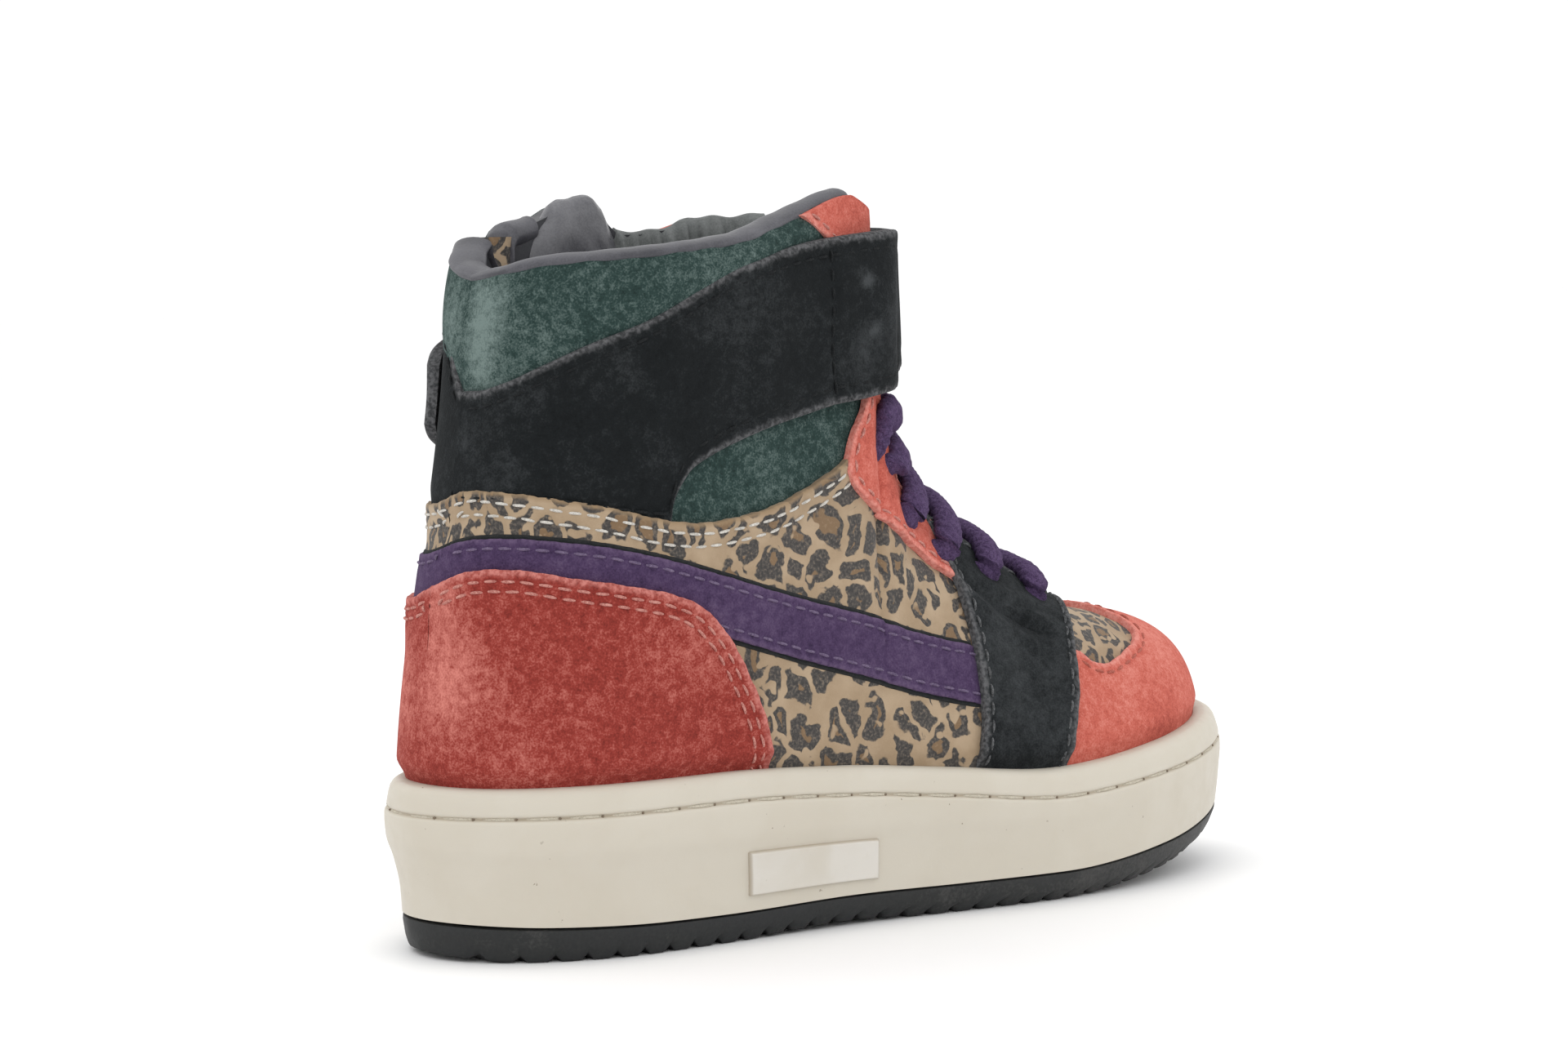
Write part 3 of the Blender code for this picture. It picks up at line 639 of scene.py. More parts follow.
def suede(name):
    """Napped leather: brushed patches, fine grain, a soft sheen and a fuzzy raw edge."""
    look = SUEDES[name]
    made, tree, shader = new_material(name)
    at = spot(tree)
    patches = noise(tree, at, PATCH_SIZE, 3.0, 0.6)
    nap = noise(tree, at, NAP_SIZE, 4.0, 0.4)
    grain = noise(tree, at, GRAIN_SIZE, 2.0)
    shade = weighted(tree, ((patches, look.patchy), (nap, look.grainy), (grain, look.grainy)))
    shade = math_node(tree, "ADD", shade, attribute(tree, "pale"))
    shade = math_node(tree, "ADD", shade, MID_SHADE)
    colour = ramp(tree, shade, ((0.12, look.deep), (MID_SHADE, look.mid), (0.95, look.pale)))
    ragged = math_node(tree, "MULTIPLY_ADD", nap, -1.6 * look.fuzz, attribute(tree, "edge"))
    worn = span(tree, ragged, -0.6 * look.fuzz, 0.55 * look.fuzz, EDGE_PALE, 0.0)
    flecks = span(tree, noise(tree, at, EDGE_FLECK_SIZE, 3.0), 0.35, 0.65, 0.3, 1.0)
    worn = math_node(tree, "MULTIPLY", worn, flecks)
    relief = weighted(tree, ((nap, 0.8), (grain, 0.7)))
    connect(tree, shader, {
        "Base Color": mix(tree, worn, colour, look.edge),
        "Normal": bump(tree, relief, 0.55, 0.35),
        "Roughness": 0.95,
        "Specular IOR Level": 0.15,
        "Sheen Weight": 0.22,
        "Sheen Roughness": 0.45,
        "Sheen Tint": (*look.pale, 1.0),
    })
    return made


TAN, TAN_PALE = (0.315, 0.227, 0.142), (0.405, 0.305, 0.205)
ROSETTE, ROSETTE_DARK = (0.082, 0.073, 0.066), (0.042, 0.039, 0.037)
ROSETTE_HEART = (0.190, 0.122, 0.068)
ROSETTE_WIDE, ROSETTE_TALL, ROSETTE_RANDOM = 5.6, 6.8, 0.85
ROSETTE_REACH, SPOT_EDGE, GAP_EDGE = 0.66, (0.082, 0.132), (0.33, 0.38)
HEART_LEAST, HEART_SPREAD, HEART_EDGE = 0.24, 0.20, 0.045
WANDER_SIZE, WANDER = 6.25, 7.0
PRINT_RAGGED_SIZE, PRINT_BROKEN_SIZE, PRINT_FLECK_SIZE = 1.6, 3.1, 0.5
WORN_TAN = (0.27, 0.185, 0.105)


def leopard(name):
    """Printed short-nap leather: broken dark rosettes with brown hearts on a tan ground."""
    made, tree, shader = new_material(name)
    flat = attribute(tree, "flat", "Vector")
    at = spot(tree)
    values = {"Vector": flat, "Scale": 1.0 / WANDER_SIZE, "Detail": 2.0}
    wander = add(tree, "ShaderNodeTexNoise", values).outputs["Color"]
    wander = vector_node(tree, "SUBTRACT", {0: wander, 1: (0.5, 0.5, 0.5)})
    wander = vector_node(tree, "SCALE", {0: wander, "Scale": WANDER})
    bent = vector_node(tree, "ADD", {0: flat, 1: wander})
    size = (1.0 / ROSETTE_WIDE, 1.0 / ROSETTE_TALL, 1.0)
    cells = vector_node(tree, "MULTIPLY", {0: bent, 1: size})
    values = {"Vector": cells, "Scale": 1.0, "Randomness": ROSETTE_RANDOM}
    rim = add(tree, "ShaderNodeTexVoronoi", values, feature="DISTANCE_TO_EDGE", voronoi_dimensions="2D")
    own = add(tree, "ShaderNodeTexVoronoi", values, feature="F1", voronoi_dimensions="2D")
    ragged = noise(tree, flat, PRINT_RAGGED_SIZE, 3.0, 0.5)
    broken = noise(tree, flat, PRINT_BROKEN_SIZE, 1.0)
    blob = math_node(tree, "SUBTRACT", ROSETTE_REACH, own.outputs["Distance"])
    depth = math_node(tree, "MINIMUM", rim.outputs["Distance"], blob)
    depth = math_node(tree, "ADD", depth, weighted(tree, ((ragged, 0.20), (broken, 0.12))))
    spots = math_node(tree, "MULTIPLY", span(tree, depth, *SPOT_EDGE), span(tree, broken, *GAP_EDGE))
    random = add(tree, "ShaderNodeSeparateColor", {"Color": own.outputs["Color"]}).outputs["Red"]
    start = math_node(tree, "MULTIPLY_ADD", random, HEART_SPREAD, HEART_LEAST)
    heart = span(tree, math_node(tree, "SUBTRACT", depth, start), 0.0, HEART_EDGE)
    fleck = noise(tree, at, PRINT_FLECK_SIZE, 3.0)
    ground = mix(tree, span(tree, noise(tree, at, 6.0, 3.0), 0.3, 0.75), TAN, TAN_PALE)
    ring = mix(tree, span(tree, fleck, 0.35, 0.65), ROSETTE_DARK, ROSETTE)
    colour = mix(tree, spots, ground, mix(tree, heart, ring, ROSETTE_HEART))
    colour = mix(tree, span(tree, fleck, 0.52, 0.8, 0.0, 0.30), colour, TAN_PALE)
    worn = span(tree, attribute(tree, "edge"), 0.15, 1.1, 0.75, 0.0)
    colour = mix(tree, worn, colour, WORN_TAN)
    relief = weighted(tree, ((fleck, 0.8), (noise(tree, at, 0.2, 2.0), 0.5)))
    connect(tree, shader, {
        "Base Color": colour,
        "Normal": bump(tree, relief, 0.35, 0.25),
        "Roughness": 0.86,
        "Specular IOR Level": 0.25,
        "Sheen Weight": 0.12,
    })
    return made


Leather = namedtuple("Leather", "dark pale roughness pebble relief")
LEATHERS = {
    "binding_leather": Leather((0.036, 0.036, 0.044), (0.100, 0.099, 0.113), 0.42, 0.9, 0.22),
    "padded_leather": Leather((0.060, 0.060, 0.068), (0.165, 0.165, 0.178), 0.30, 1.1, 0.16),
    "lining_leather": Leather((0.020, 0.021, 0.025), (0.050, 0.051, 0.058), 0.40, 1.1, 0.16),
    "tongue_cloth": Leather((0.020, 0.026, 0.025), (0.060, 0.072, 0.070), 0.82, 0.5, 0.5),
    "pleated_cloth": Leather((0.065, 0.071, 0.070), (0.185, 0.195, 0.193), 0.72, 0.6, 0.4),
    "footbed": Leather((0.030, 0.032, 0.033), (0.075, 0.078, 0.080), 0.8, 0.6, 0.4),
}


def leather(name):
    """Soft leather or lining with a fine pebble and rubbed high spots."""
    look = LEATHERS[name]
    made, tree, shader = new_material(name)
    at = spot(tree)
    cloud = noise(tree, at, 7.0, 4.0, 0.5)
    pebble = add(tree, "ShaderNodeTexVoronoi", {"Vector": at, "Scale": 1.0 / look.pebble}).outputs["Distance"]
    fine = noise(tree, at, 0.35, 3.0)
    shade = weighted(tree, ((cloud, 1.1), (fine, 0.5)))
    colour = mix(tree, span(tree, shade, -0.35, 0.45), look.dark, look.pale)
    relief = weighted(tree, ((pebble, 0.6), (fine, 0.5)))
    connect(tree, shader, {
        "Base Color": colour,
        "Normal": bump(tree, relief, look.relief, 0.2),
        "Roughness": span(tree, cloud, 0.3, 0.7, look.roughness - 0.07, look.roughness + 0.1),
        "Specular IOR Level": 0.4,
    })
    return made


Thread = namedtuple("Thread", "dark pale")
THREADS = {
    "white_thread": Thread((0.38, 0.36, 0.33), (0.75, 0.72, 0.66)),
    "pink_thread": Thread((0.34, 0.10, 0.085), (0.66, 0.33, 0.28)),
    "lilac_thread": Thread((0.08, 0.055, 0.11), (0.21, 0.16, 0.25)),
    "dark_thread": Thread((0.006, 0.007, 0.008), (0.018, 0.020, 0.021)),
    "edge_thread": Thread((0.030, 0.031, 0.033), (0.16, 0.165, 0.17)),
    "toe_thread": Thread((0.30, 0.070, 0.052), (0.52, 0.17, 0.13)),
    "cup_thread": Thread((0.42, 0.38, 0.30), (0.62, 0.575, 0.48)),
    # Painted shade: the colour of the cup's stitch holes.
    "cup_hole_shade": Thread((0.15, 0.115, 0.085), (0.26, 0.205, 0.15)),
    "lace_cord": Thread((0.030, 0.016, 0.048), (0.115, 0.072, 0.160)),
}


def thread(name):
    """Spun thread or cord: fine fibres in two shades."""
    look = THREADS[name]
    made, tree, shader = new_material(name)
    at = spot(tree)
    fibres = noise(tree, at, 0.55, 4.0, 0.8)
    fine = noise(tree, at, 0.18, 2.0)
    shade = weighted(tree, ((fibres, 1.2), (fine, 0.8)))
    colour = mix(tree, span(tree, shade, -0.4, 0.45), look.dark, look.pale)
    connect(tree, shader, {
        "Base Color": colour,
        "Normal": bump(tree, shade, 0.7, 0.3),
        "Roughness": 0.92,
        "Specular IOR Level": 0.2,
        "Sheen Weight": 0.3,
        "Sheen Tint": (*look.pale, 1.0),
    })
    return made


CUP_PALE, PLATE_PALE, CUP_WARM = (0.555, 0.515, 0.438), (0.625, 0.598, 0.550), (0.525, 0.480, 0.398)
CUP_DIRT, CUP_BROWN_AND_SHADE = (0.24, 0.20, 0.15), (0.34, 0.28, 0.20)


def cup_rubber(name, pale):
    """Off-white moulded rubber with warm patches and a few dark flecks, darker brown in the groove and at the
    inner rim, and a painted shadow round the raised plate's border.
    """
    made, tree, shader = new_material(name)
    at = spot(tree)
    cloud = noise(tree, at, 16.0, 4.0, 0.7)
    smear = noise(tree, at, 3.2, 5.0, 0.5)
    fleck = noise(tree, at, 1.3, 2.0)
    colour = mix(tree, span(tree, cloud, 0.3, 0.75, 0.0, 0.6), pale, CUP_WARM)
    colour = mix(tree, span(tree, smear, 0.55, 0.85, 0.0, 0.25), colour, CUP_WARM)
    flecks = math_node(tree, "MULTIPLY", span(tree, fleck, 0.745, 0.775), span(tree, cloud, 0.45, 0.6))
    colour = mix(tree, flecks, colour, CUP_DIRT)
    # Darker brown near the marked edges: a painted shadow round the raised plate's border, and darker in the
    # cup's groove and at its inner rim.
    brown_and_shade = span(tree, attribute(tree, "edge"), 0.0, 0.55, 0.75, 0.0)
    colour = mix(tree, brown_and_shade, colour, CUP_BROWN_AND_SHADE)
    relief = weighted(tree, ((smear, 0.5), (noise(tree, at, 0.5, 3.0), 0.5)))
    connect(tree, shader, {
        "Base Color": colour,
        "Normal": bump(tree, relief, 0.12, 0.3),
        "Roughness": span(tree, smear, 0.3, 0.7, 0.42, 0.62),
        "Specular IOR Level": 0.4,
        "Subsurface Weight": 0.06,
        "Subsurface Radius": (0.002, 0.0015, 0.001),
    })
    return made


# The palest tread shade is reached through random patches and through painted light towards the toe.
TREAD_DARK, TREAD_MID, TREAD_PALE_AND_LIT = (0.009, 0.010, 0.011), (0.018, 0.019, 0.019), (0.070, 0.068, 0.066)


def outsole_rubber(name):
    """Dark tread rubber, with painted light making it paler towards the toe."""
    made, tree, shader = new_material(name)
    at = spot(tree)
    cloud = noise(tree, at, 9.0, 4.0, 0.6)
    grain = noise(tree, at, 0.6, 3.0)
    shade = weighted(tree, ((cloud, 1.2), (grain, 0.6)))
    ahead = add(tree, "ShaderNodeSeparateXYZ", {"Vector": at}).outputs["X"]
    # Painted light: the tread is made paler towards the toe, where more light falls.
    shade = math_node(tree, "ADD", shade, span(tree, ahead, -40.0, 90.0, 0.3, 0.75))
    colour = ramp(tree, shade, ((0.1, TREAD_DARK), (0.5, TREAD_MID), (1.0, TREAD_PALE_AND_LIT)))
    connect(tree, shader, {
        "Base Color": colour,
        "Normal": bump(tree, grain, 0.25, 0.25),
        "Roughness": span(tree, cloud, 0.3, 0.7, 0.5, 0.75),
        "Specular IOR Level": 0.4,
    })
    return made


FINISHES = {}
for looks, make in ((SUEDES, suede), (LEATHERS, leather), (THREADS, thread)):
    for key in looks:
        FINISHES[key] = make(key)
FINISHES["leopard_print"] = leopard("leopard_print")
FINISHES["cup_rubber"] = cup_rubber("cup_rubber", CUP_PALE)
FINISHES["plate_rubber"] = cup_rubber("plate_rubber", PLATE_PALE)
FINISHES["outsole_rubber"] = outsole_rubber("outsole_rubber")

# Meshes
SHARP_DEGREES = 48.0
WELD = 0.004
widest = [plan_point(side, np.linspace(0.0, 1.0, FINE_STEPS), 0.0, 0.0)[1] for side in SIDES]
ORIGIN = np.array([SOLE_LENGTH / 2.0, (np.min(widest) + np.max(widest)) / 2.0, 0.0])


def make_piece(name, points, faces, finishes, values=None, face_finish=None):
    """A closed piece from points in millimetres. values are its named numbers for the shaders."""
    mesh = bpy.data.meshes.new(name)
    mesh.from_pydata((np.asarray(points, float) - ORIGIN) * MM, [], faces)
    for finish in finishes:
        mesh.materials.append(FINISHES[finish])
    if face_finish is not None:
        mesh.polygons.foreach_set("material_index", np.asarray(face_finish, np.int32))
    for key, numbers in (values or {}).items():
        numbers = np.asarray(numbers, np.float32)
        if numbers.ndim == 2:
            mesh.attributes.new(key, "FLOAT_VECTOR", "POINT").data.foreach_set("vector", numbers.ravel())
        else:
            mesh.attributes.new(key, "FLOAT", "POINT").data.foreach_set("value", numbers)
    built = bmesh.new()
    built.from_mesh(mesh)
    bmesh.ops.remove_doubles(built, verts=built.verts, dist=WELD * MM)
    bmesh.ops.recalc_face_normals(built, faces=built.faces)
    built.to_mesh(mesh)
    built.free()
    mesh.shade_smooth()
    mesh.set_sharp_from_angle(angle=math.radians(SHARP_DEGREES))
    obj = bpy.data.objects.new(name, mesh)
    bpy.context.scene.collection.objects.link(obj)
    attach(obj, "root")
    return obj


def grid_faces(rows, columns, start=0, closed=False):
    """Faces of a grid of points. Where it is closed, its last column meets its first."""
    r, c = np.meshgrid(np.arange(rows - 1), np.arange(columns if closed else columns - 1), indexing="ij")
    r, c = r.ravel(), c.ravel()
    after = (c + 1) % columns
    corners = (r * columns + c, r * columns + after, (r + 1) * columns + after, (r + 1) * columns + c)
    return (np.stack(corners, -1) + start).tolist()


def loft(rings):
    """Points and faces of a closed body swept through equal rings, with both ends closed."""
    count, around = rings.shape[:2]
    points = rings.reshape(-1, 3)
    faces = grid_faces(count, around, closed=True)
    faces.append(list(range(around)))
    faces.append(list(range((count - 1) * around, count * around)))
    return points, faces


def join(parts):
    """One set of points and faces from several."""
    points, faces, start = [], [], 0
    for some, their_faces in parts:
        points.append(some)
        faces += [[k + start for k in face] for face in their_faces]
        start += len(some)
    return np.concatenate(points), faces


def plate_between(top, under):
    """Points and faces of a closed plate between two equal grids of points."""
    rows, columns = top.shape[:2]
    size = rows * columns
    faces = grid_faces(rows, columns) + grid_faces(rows, columns, size)
    rim = list(range(columns)) + [k * columns + columns - 1 for k in range(1, rows)]
    rim += [size - 2 - k for k in range(columns - 1)] + [k * columns for k in range(rows - 2, 0, -1)]
    for a, b in zip(rim, rim[1:] + rim[:1]):
        faces.append((a, b, b + size, a + size))
    return np.concatenate([top.reshape(-1, 3), under.reshape(-1, 3)]), faces


# Panels
Run = namedtuple("Run", "kind points")
ALONG_TOP = ("throat", "collar", "ridge")
CUT_EDGES = ("edge", "throat")
JOINED = ("seam", "ridge")
PANEL_SPACING = 1.15
OUTLINE_SPACING, DENSE_SPACING = 0.7, 0.15
EDGE_RINGS = (0.12, 0.32, 0.7)
EDGE_ROUND = 0.42
ROOM_SHARE = 0.8
PROBE = 0.4
FAR = 99.0
CROWD, CROWD_ROUND, CROWD_REACH = 1.3, 106.0, 9.0
STITCH_SINK, STITCH_SINK_REACH = 0.22, 0.42
LEAST_HEIGHT, SKIVED = 0.05, 0.4
TUCK_FROM, TUCK_FULL, TUCK_LEAST = -0.3, 3.4, 0.1
SKIN = 0.06
PANEL_THICKNESS = 1.25


def curve_through(points, spacing):
    """Evenly spaced points on a smooth curve through a few given ones."""
    points = np.array(points, float)
    run = lengths_along(points)
    at = np.linspace(0.0, run[-1], max(2, int(run[-1] / spacing) + 1))
    if len(points) == 2:
        return points[0] + (points[1] - points[0]) * (at / run[-1])[:, None]
    slope = np.gradient(points, run, axis=0)
    i = np.clip(np.searchsorted(run, at, side="right") - 1, 0, len(run) - 2)
    h = (run[i + 1] - run[i])[:, None]
    q = (at - run[i])[:, None] / h
    rise = q * q * (3.0 - 2.0 * q)
    ease_out, ease_in = q * (1.0 - q) ** 2, q * q * (1.0 - q)
    return points[i] + (points[i + 1] - points[i]) * rise + h * (slope[i] * ease_out - slope[i + 1] * ease_in)


def trace(side, runs):
    """The outline of a panel: its places, and the kind of each stretch that starts there."""
    places, kinds = [], []
    for run in runs:
        points = np.array(run.points, float)
        points[:, 1] = np.minimum(points[:, 1], top_rise(side, points[:, 0]))
        if run.kind in ALONG_TOP:
            steps = int(abs(points[-1, 0] - points[0, 0]) / OUTLINE_SPACING * 2) + 2
            rounds = np.linspace(points[0, 0], points[-1, 0], steps)
            line = np.stack([rounds, top_rise(side, rounds)], -1)
        else:
            line = curve_through(points, OUTLINE_SPACING)
        places.append(line[:-1])
        kinds += [run.kind] * (len(line) - 1)
    return np.concatenate(places), np.array(kinds)


def metric(side, places):
    """How the surface moves with round and with rise at each place."""
    moves = []
    for k in range(2):
        step = np.zeros(2)
        step[k] = PROBE
        low, high = places - step, places + step
        for end in (low, high):
            end[:, 0] = np.clip(end[:, 0], 0.0, TOE_END)
            end[:, 1] = np.clip(end[:, 1], 0.0, np.maximum(top_rise(side, end[:, 0]), PROBE))
        moved = (high - low)[:, k]
        apart = on_upper(side, high) - on_upper(side, low)
        moves.append(apart / np.maximum(moved, TINY)[:, None])
    return moves


def inward(side, places, turn):
    """For each place of an outline, the step in round and rise that goes 1 mm inwards on the surface."""
    ahead = np.roll(places, -1, axis=0) - np.roll(places, 1, axis=0)
    a, b = ahead[:, 0], ahead[:, 1]
    by_round, by_rise = metric(side, places)
    e = (by_round**2).sum(-1)
    f = (by_round * by_rise).sum(-1)
    g = (by_rise**2).sum(-1)
    step = np.stack([-(f * a + g * b), e * a + f * b], -1) * turn
    size = np.sqrt(e * step[:, 0] ** 2 + 2 * f * step[:, 0] * step[:, 1] + g * step[:, 1] ** 2)
    return step / np.maximum(size, TINY)[:, None]


def inside(places, outline):
    """Which places lie inside the outline."""
    x, y = places[:, 0], places[:, 1]
    found = np.zeros(len(places), bool)
    for (x0, y0), (x1, y1) in zip(outline, np.roll(outline, -1, axis=0)):
        if y0 == y1:
            continue
        crosses = (y0 > y) != (y1 > y)
        found ^= crosses & (x < (x1 - x0) * (y - y0) / (y1 - y0) + x0)
    return found


def tree_of(points):
    tree = KDTree(len(points))
    for k, point in enumerate(points):
        tree.insert(point, k)
    tree.balance()
    return tree


def distances(tree, points):
    return np.array([tree.find(point)[2] for point in points])


def dense(points):
    """A polyline's points with more between them, so that the nearest one gives its distance."""
    run = lengths_along(points)
    at = np.arange(0.0, run[-1], DENSE_SPACING)
    return np.stack([np.interp(at, run, points[:, k]) for k in range(3)], -1)


def stretched_rounds(low, high):
    """Rounds for the inner points, closer together where the ribs spread out towards the throat."""
    at = np.linspace(low, high, FINE_STEPS)
    crowd = 1.0 + CROWD * bell(at - CROWD_ROUND, CROWD_REACH)
    total = np.concatenate([[0.0], np.cumsum((crowd[1:] + crowd[:-1]) / 2 * np.diff(at))])
    return np.interp(np.arange(PANEL_SPACING / 2, total[-1], PANEL_SPACING), total, at)


INSIDE_FACES = 1


def fill(outline, inner):
    """Triangles inside an outline that use the inner points, and each place's number on the outline."""
    count = len(outline)
    corners = [Vector(place) for place in np.concatenate([outline, inner])]
    found = delaunay_2d_cdt(corners, [], [list(range(count))], INSIDE_FACES, TINY)
    places = np.array([tuple(corner) for corner in found[0]])
    number = np.array([min([k for k in ids if k < count], default=-1) for ids in found[3]])
    return places, np.array(found[2]), number


def cut_edges_of(kinds):
    """The stretches of an outline that are cut edges, as rows of numbers on the outline."""
    count = len(kinds)
    cut = np.isin(kinds, CUT_EDGES)
    rows, row = [], []
    for k in range(count):
        if cut[k]:
            row.append(k)
            if not cut[(k + 1) % count]:
                rows.append(row + [(k + 1) % count])
                row = []
    if row:
        rows.append(row + [0])
    return rows


CREASE_END, CREASE_RIDGE, RIDGE_AWAY, CREASE_REACH = 0.25, 0.45, 2.1, 4.0
CREASES = table(
    "side width depth places",
    (OUTER, 1.1, 1.75, ((115, 50.5), (119.5, 45.5), (124, 42), (129, 39), (136, 35.5))),
    (OUTER, 0.9, 1.10, ((117, 50), (121, 46), (125, 44), (131, 43), (135, 43))),
    (OUTER, 1.0, 1.00, ((119, 43.5), (124.5, 39.5), (129, 37), (133, 33))),
    (INNER, 1.3, 0.50, ((117, 50), (125, 45), (132, 41), (138, 37))),
    (INNER, 1.2, 0.35, ((118, 40), (126, 37), (133, 33))),
    (OUTER, 2.2, 0.35, ((94, 58), (99, 44), (103, 30))),
    (INNER, 2.2, 0.35, ((93, 58), (98, 44), (102, 30))),
)


def crease_depth(points):
    """How far the listed creases push the surface in, with a soft ridge on both sides."""
    depth = np.zeros(len(points))
    for crease in CREASES:
        line = on_upper(crease.side, curve_through(crease.places, OUTLINE_SPACING))
        middle = line[len(line) // 2]
        reach = lengths_along(line)[-1] / 2.0 + CREASE_REACH * crease.width
        near = np.linalg.norm(points - middle, axis=1) < reach
        if not near.any():
            continue
        tree = tree_of(line)
        found = [tree.find(point) for point in points[near]]
        away = np.array([f[2] for f in found])
        along = np.array([f[1] for f in found]) / (len(line) - 1)
        fade = smooth_step(0.0, CREASE_END, along) * smooth_step(1.0, 1.0 - CREASE_END, along)
        ridge = CREASE_RIDGE * bell(away - RIDGE_AWAY * crease.width, crease.width)
        depth[near] += crease.depth * (bell(away, crease.width) - ridge) * fade
    return depth


PanelShape = namedtuple("PanelShape", "points faces edge flat pale stitches")


def ragged(count, amount):
    """A small uneven wander for a cut edge, always the same."""
    k = np.arange(count)
    return amount * (0.5 * np.sin(k * 0.83) + 0.35 * np.sin(k * 2.17 + 1.0) + 0.3 * np.sin(k * 0.31 + 2.0))


def panel_half(side, runs, layer, lift, lift_reach, rows, jag, puff, patches, skive):
    """One side's half of a panel: a thin closed piece with rounded cut edges and sunk stitch rows."""
    outline, kinds = trace(side, runs(side) if callable(runs) else runs)
    after = np.roll(outline, -1, axis=0)
    turn = np.sign(np.sum(outline[:, 0] * after[:, 1] - outline[:, 1] * after[:, 0]))
    step = inward(side, outline, turn)
    cut = (kinds == "edge") & (np.roll(kinds, 1) == "edge")
    outline = outline + step * (ragged(len(outline), jag) * cut)[:, None]
    if turn < 0:
        outline, step = outline[::-1], step[::-1]
        kinds = np.roll(kinds[::-1], -1)

    base = on_upper(side, outline)
    edges = cut_edges_of(kinds)
    whole = tree_of(dense(np.concatenate([base, base[:1]])))
    cut_line = [dense(base[row]) for row in edges if len(row) > 1]
    cut_tree = tree_of(np.concatenate(cut_line)) if cut_line else None
    under = kinds == "hidden"
    under_tree = tree_of(base[under]) if under.any() and skive else None

    rounds = stretched_rounds(outline[:, 0].min(), outline[:, 0].max())
    rises = np.arange(outline[:, 1].min(), outline[:, 1].max(), PANEL_SPACING)
    places = np.stack(np.meshgrid(rounds, rises, indexing="ij"), -1)
    places[::2, :, 1] += PANEL_SPACING / 2
    places = places.reshape(-1, 2)
    places = places[inside(places, outline)]
    room = distances(whole, on_upper(side, places))
    inner = [places[room > PANEL_SPACING * ROOM_SHARE]]
    for depth in EDGE_RINGS:
        for row in edges:
            ring = outline[row] + step[row] * depth
            ring = ring[inside(ring, outline)]
            if len(ring):
                inner.append(ring[distances(whole, on_upper(side, ring)) > depth * ROOM_SHARE])

    places, triangles, number = fill(outline, np.concatenate(inner))
    base = on_upper(side, places)
    edge = distances(cut_tree, base) if cut_tree else np.full(len(places), FAR)
    height = layer + lift * (1.0 - smooth_step(0.0, lift_reach, edge))
    height = height - rounded_by(edge, EDGE_ROUND)
    for row in rows:
        height = height - STITCH_SINK * bell(edge - row, STITCH_SINK_REACH)
    if puff is not None:
        height = height + puff(side, places)
    height = height - crease_depth(base)
    if under_tree:
        height = height * (SKIVED + (1.0 - SKIVED) * smooth_step(0.0, skive, distances(under_tree, base)))
    lip = look_up(SOLE_HEIGHTS, "top", base[:, 0])
    tuck = TUCK_LEAST + (1.0 - TUCK_LEAST) * smooth_step(TUCK_FROM, TUCK_FULL, base[:, 2] - lip)
    top = SKIN + np.maximum(height - SKIN, LEAST_HEIGHT) * tuck
    bottom = np.maximum(top - PANEL_THICKNESS, SKIN / 2)
    pale = np.zeros(len(places))
    for patch in patches:
        if patch.side == side:
            away = np.hypot(places[:, 0] - patch.round, places[:, 1] - patch.rise)
            pale += patch.pale * bell(away, patch.reach)

    s, t = shares_at(side, places)
    out = shared_normal(side, s, t)
    points = np.concatenate([base + out * top[:, None], base + out * bottom[:, None]])
    faces = triangles.tolist() + (triangles[:, ::-1] + len(places)).tolist()
    faces += skirt(triangles, number, kinds, len(places))
    flat = np.stack([side * places[:, 0], places[:, 1], np.zeros(len(places))], -1)
    tree = tree_of(base)
    sewn = [sew(side, outline, step, row, inset, tree, top) for inset in rows for row in edges]
    return PanelShape(points, faces, np.tile(edge, 2), np.tile(flat, (2, 1)), np.tile(pale, 2), sewn)


def skirt(triangles, number, kinds, count):
    """The wall round a panel's rim, left open where its two halves join."""
    sides = np.concatenate([triangles[:, [0, 1]], triangles[:, [1, 2]], triangles[:, [2, 0]]])
    _, first, times = np.unique(np.sort(sides, axis=1), axis=0, return_index=True, return_counts=True)
    faces = []
    total = len(kinds)
    for a, b in sides[first[times == 1]].tolist():
        start = number[a] if (number[a] + 1) % total == number[b] else number[b]
        if min(number[a], number[b]) >= 0 and kinds[start] in JOINED:
            continue
        faces.append((b, a, a + count, b + count))
    return faces


STITCH_LENGTH, STITCH_GAP, STITCH_RADIUS = 2.55, 0.75, 0.27


def sew(side, outline, step, row, inset, tree, top):
    """The two ends of each stitch along a cut edge, and the outward direction there."""
    line = outline[row] + step[row] * inset
    line = line[inside(line, outline)]
    if len(line) < 4:
        return np.zeros((0, 3, 3))
    height = np.array([top[tree.find(point)[1]] for point in on_upper(side, line)])
    s, t = shares_at(side, line)
    return stitches_along(on_upper(side, line, height), shared_normal(side, s, t))


def stitches_along(line, out, length=STITCH_LENGTH, gap=STITCH_GAP):
    """The two ends of each stitch along a line, and the outward direction there."""
    run = lengths_along(line)
    starts = np.arange(gap, run[-1] - length, length + gap)

    def at(values, lengths):
        return np.stack([np.interp(lengths, run, values[:, k]) for k in range(3)], -1)

    return np.stack([at(line, starts), at(line, starts + length), at(out, starts)], 1)


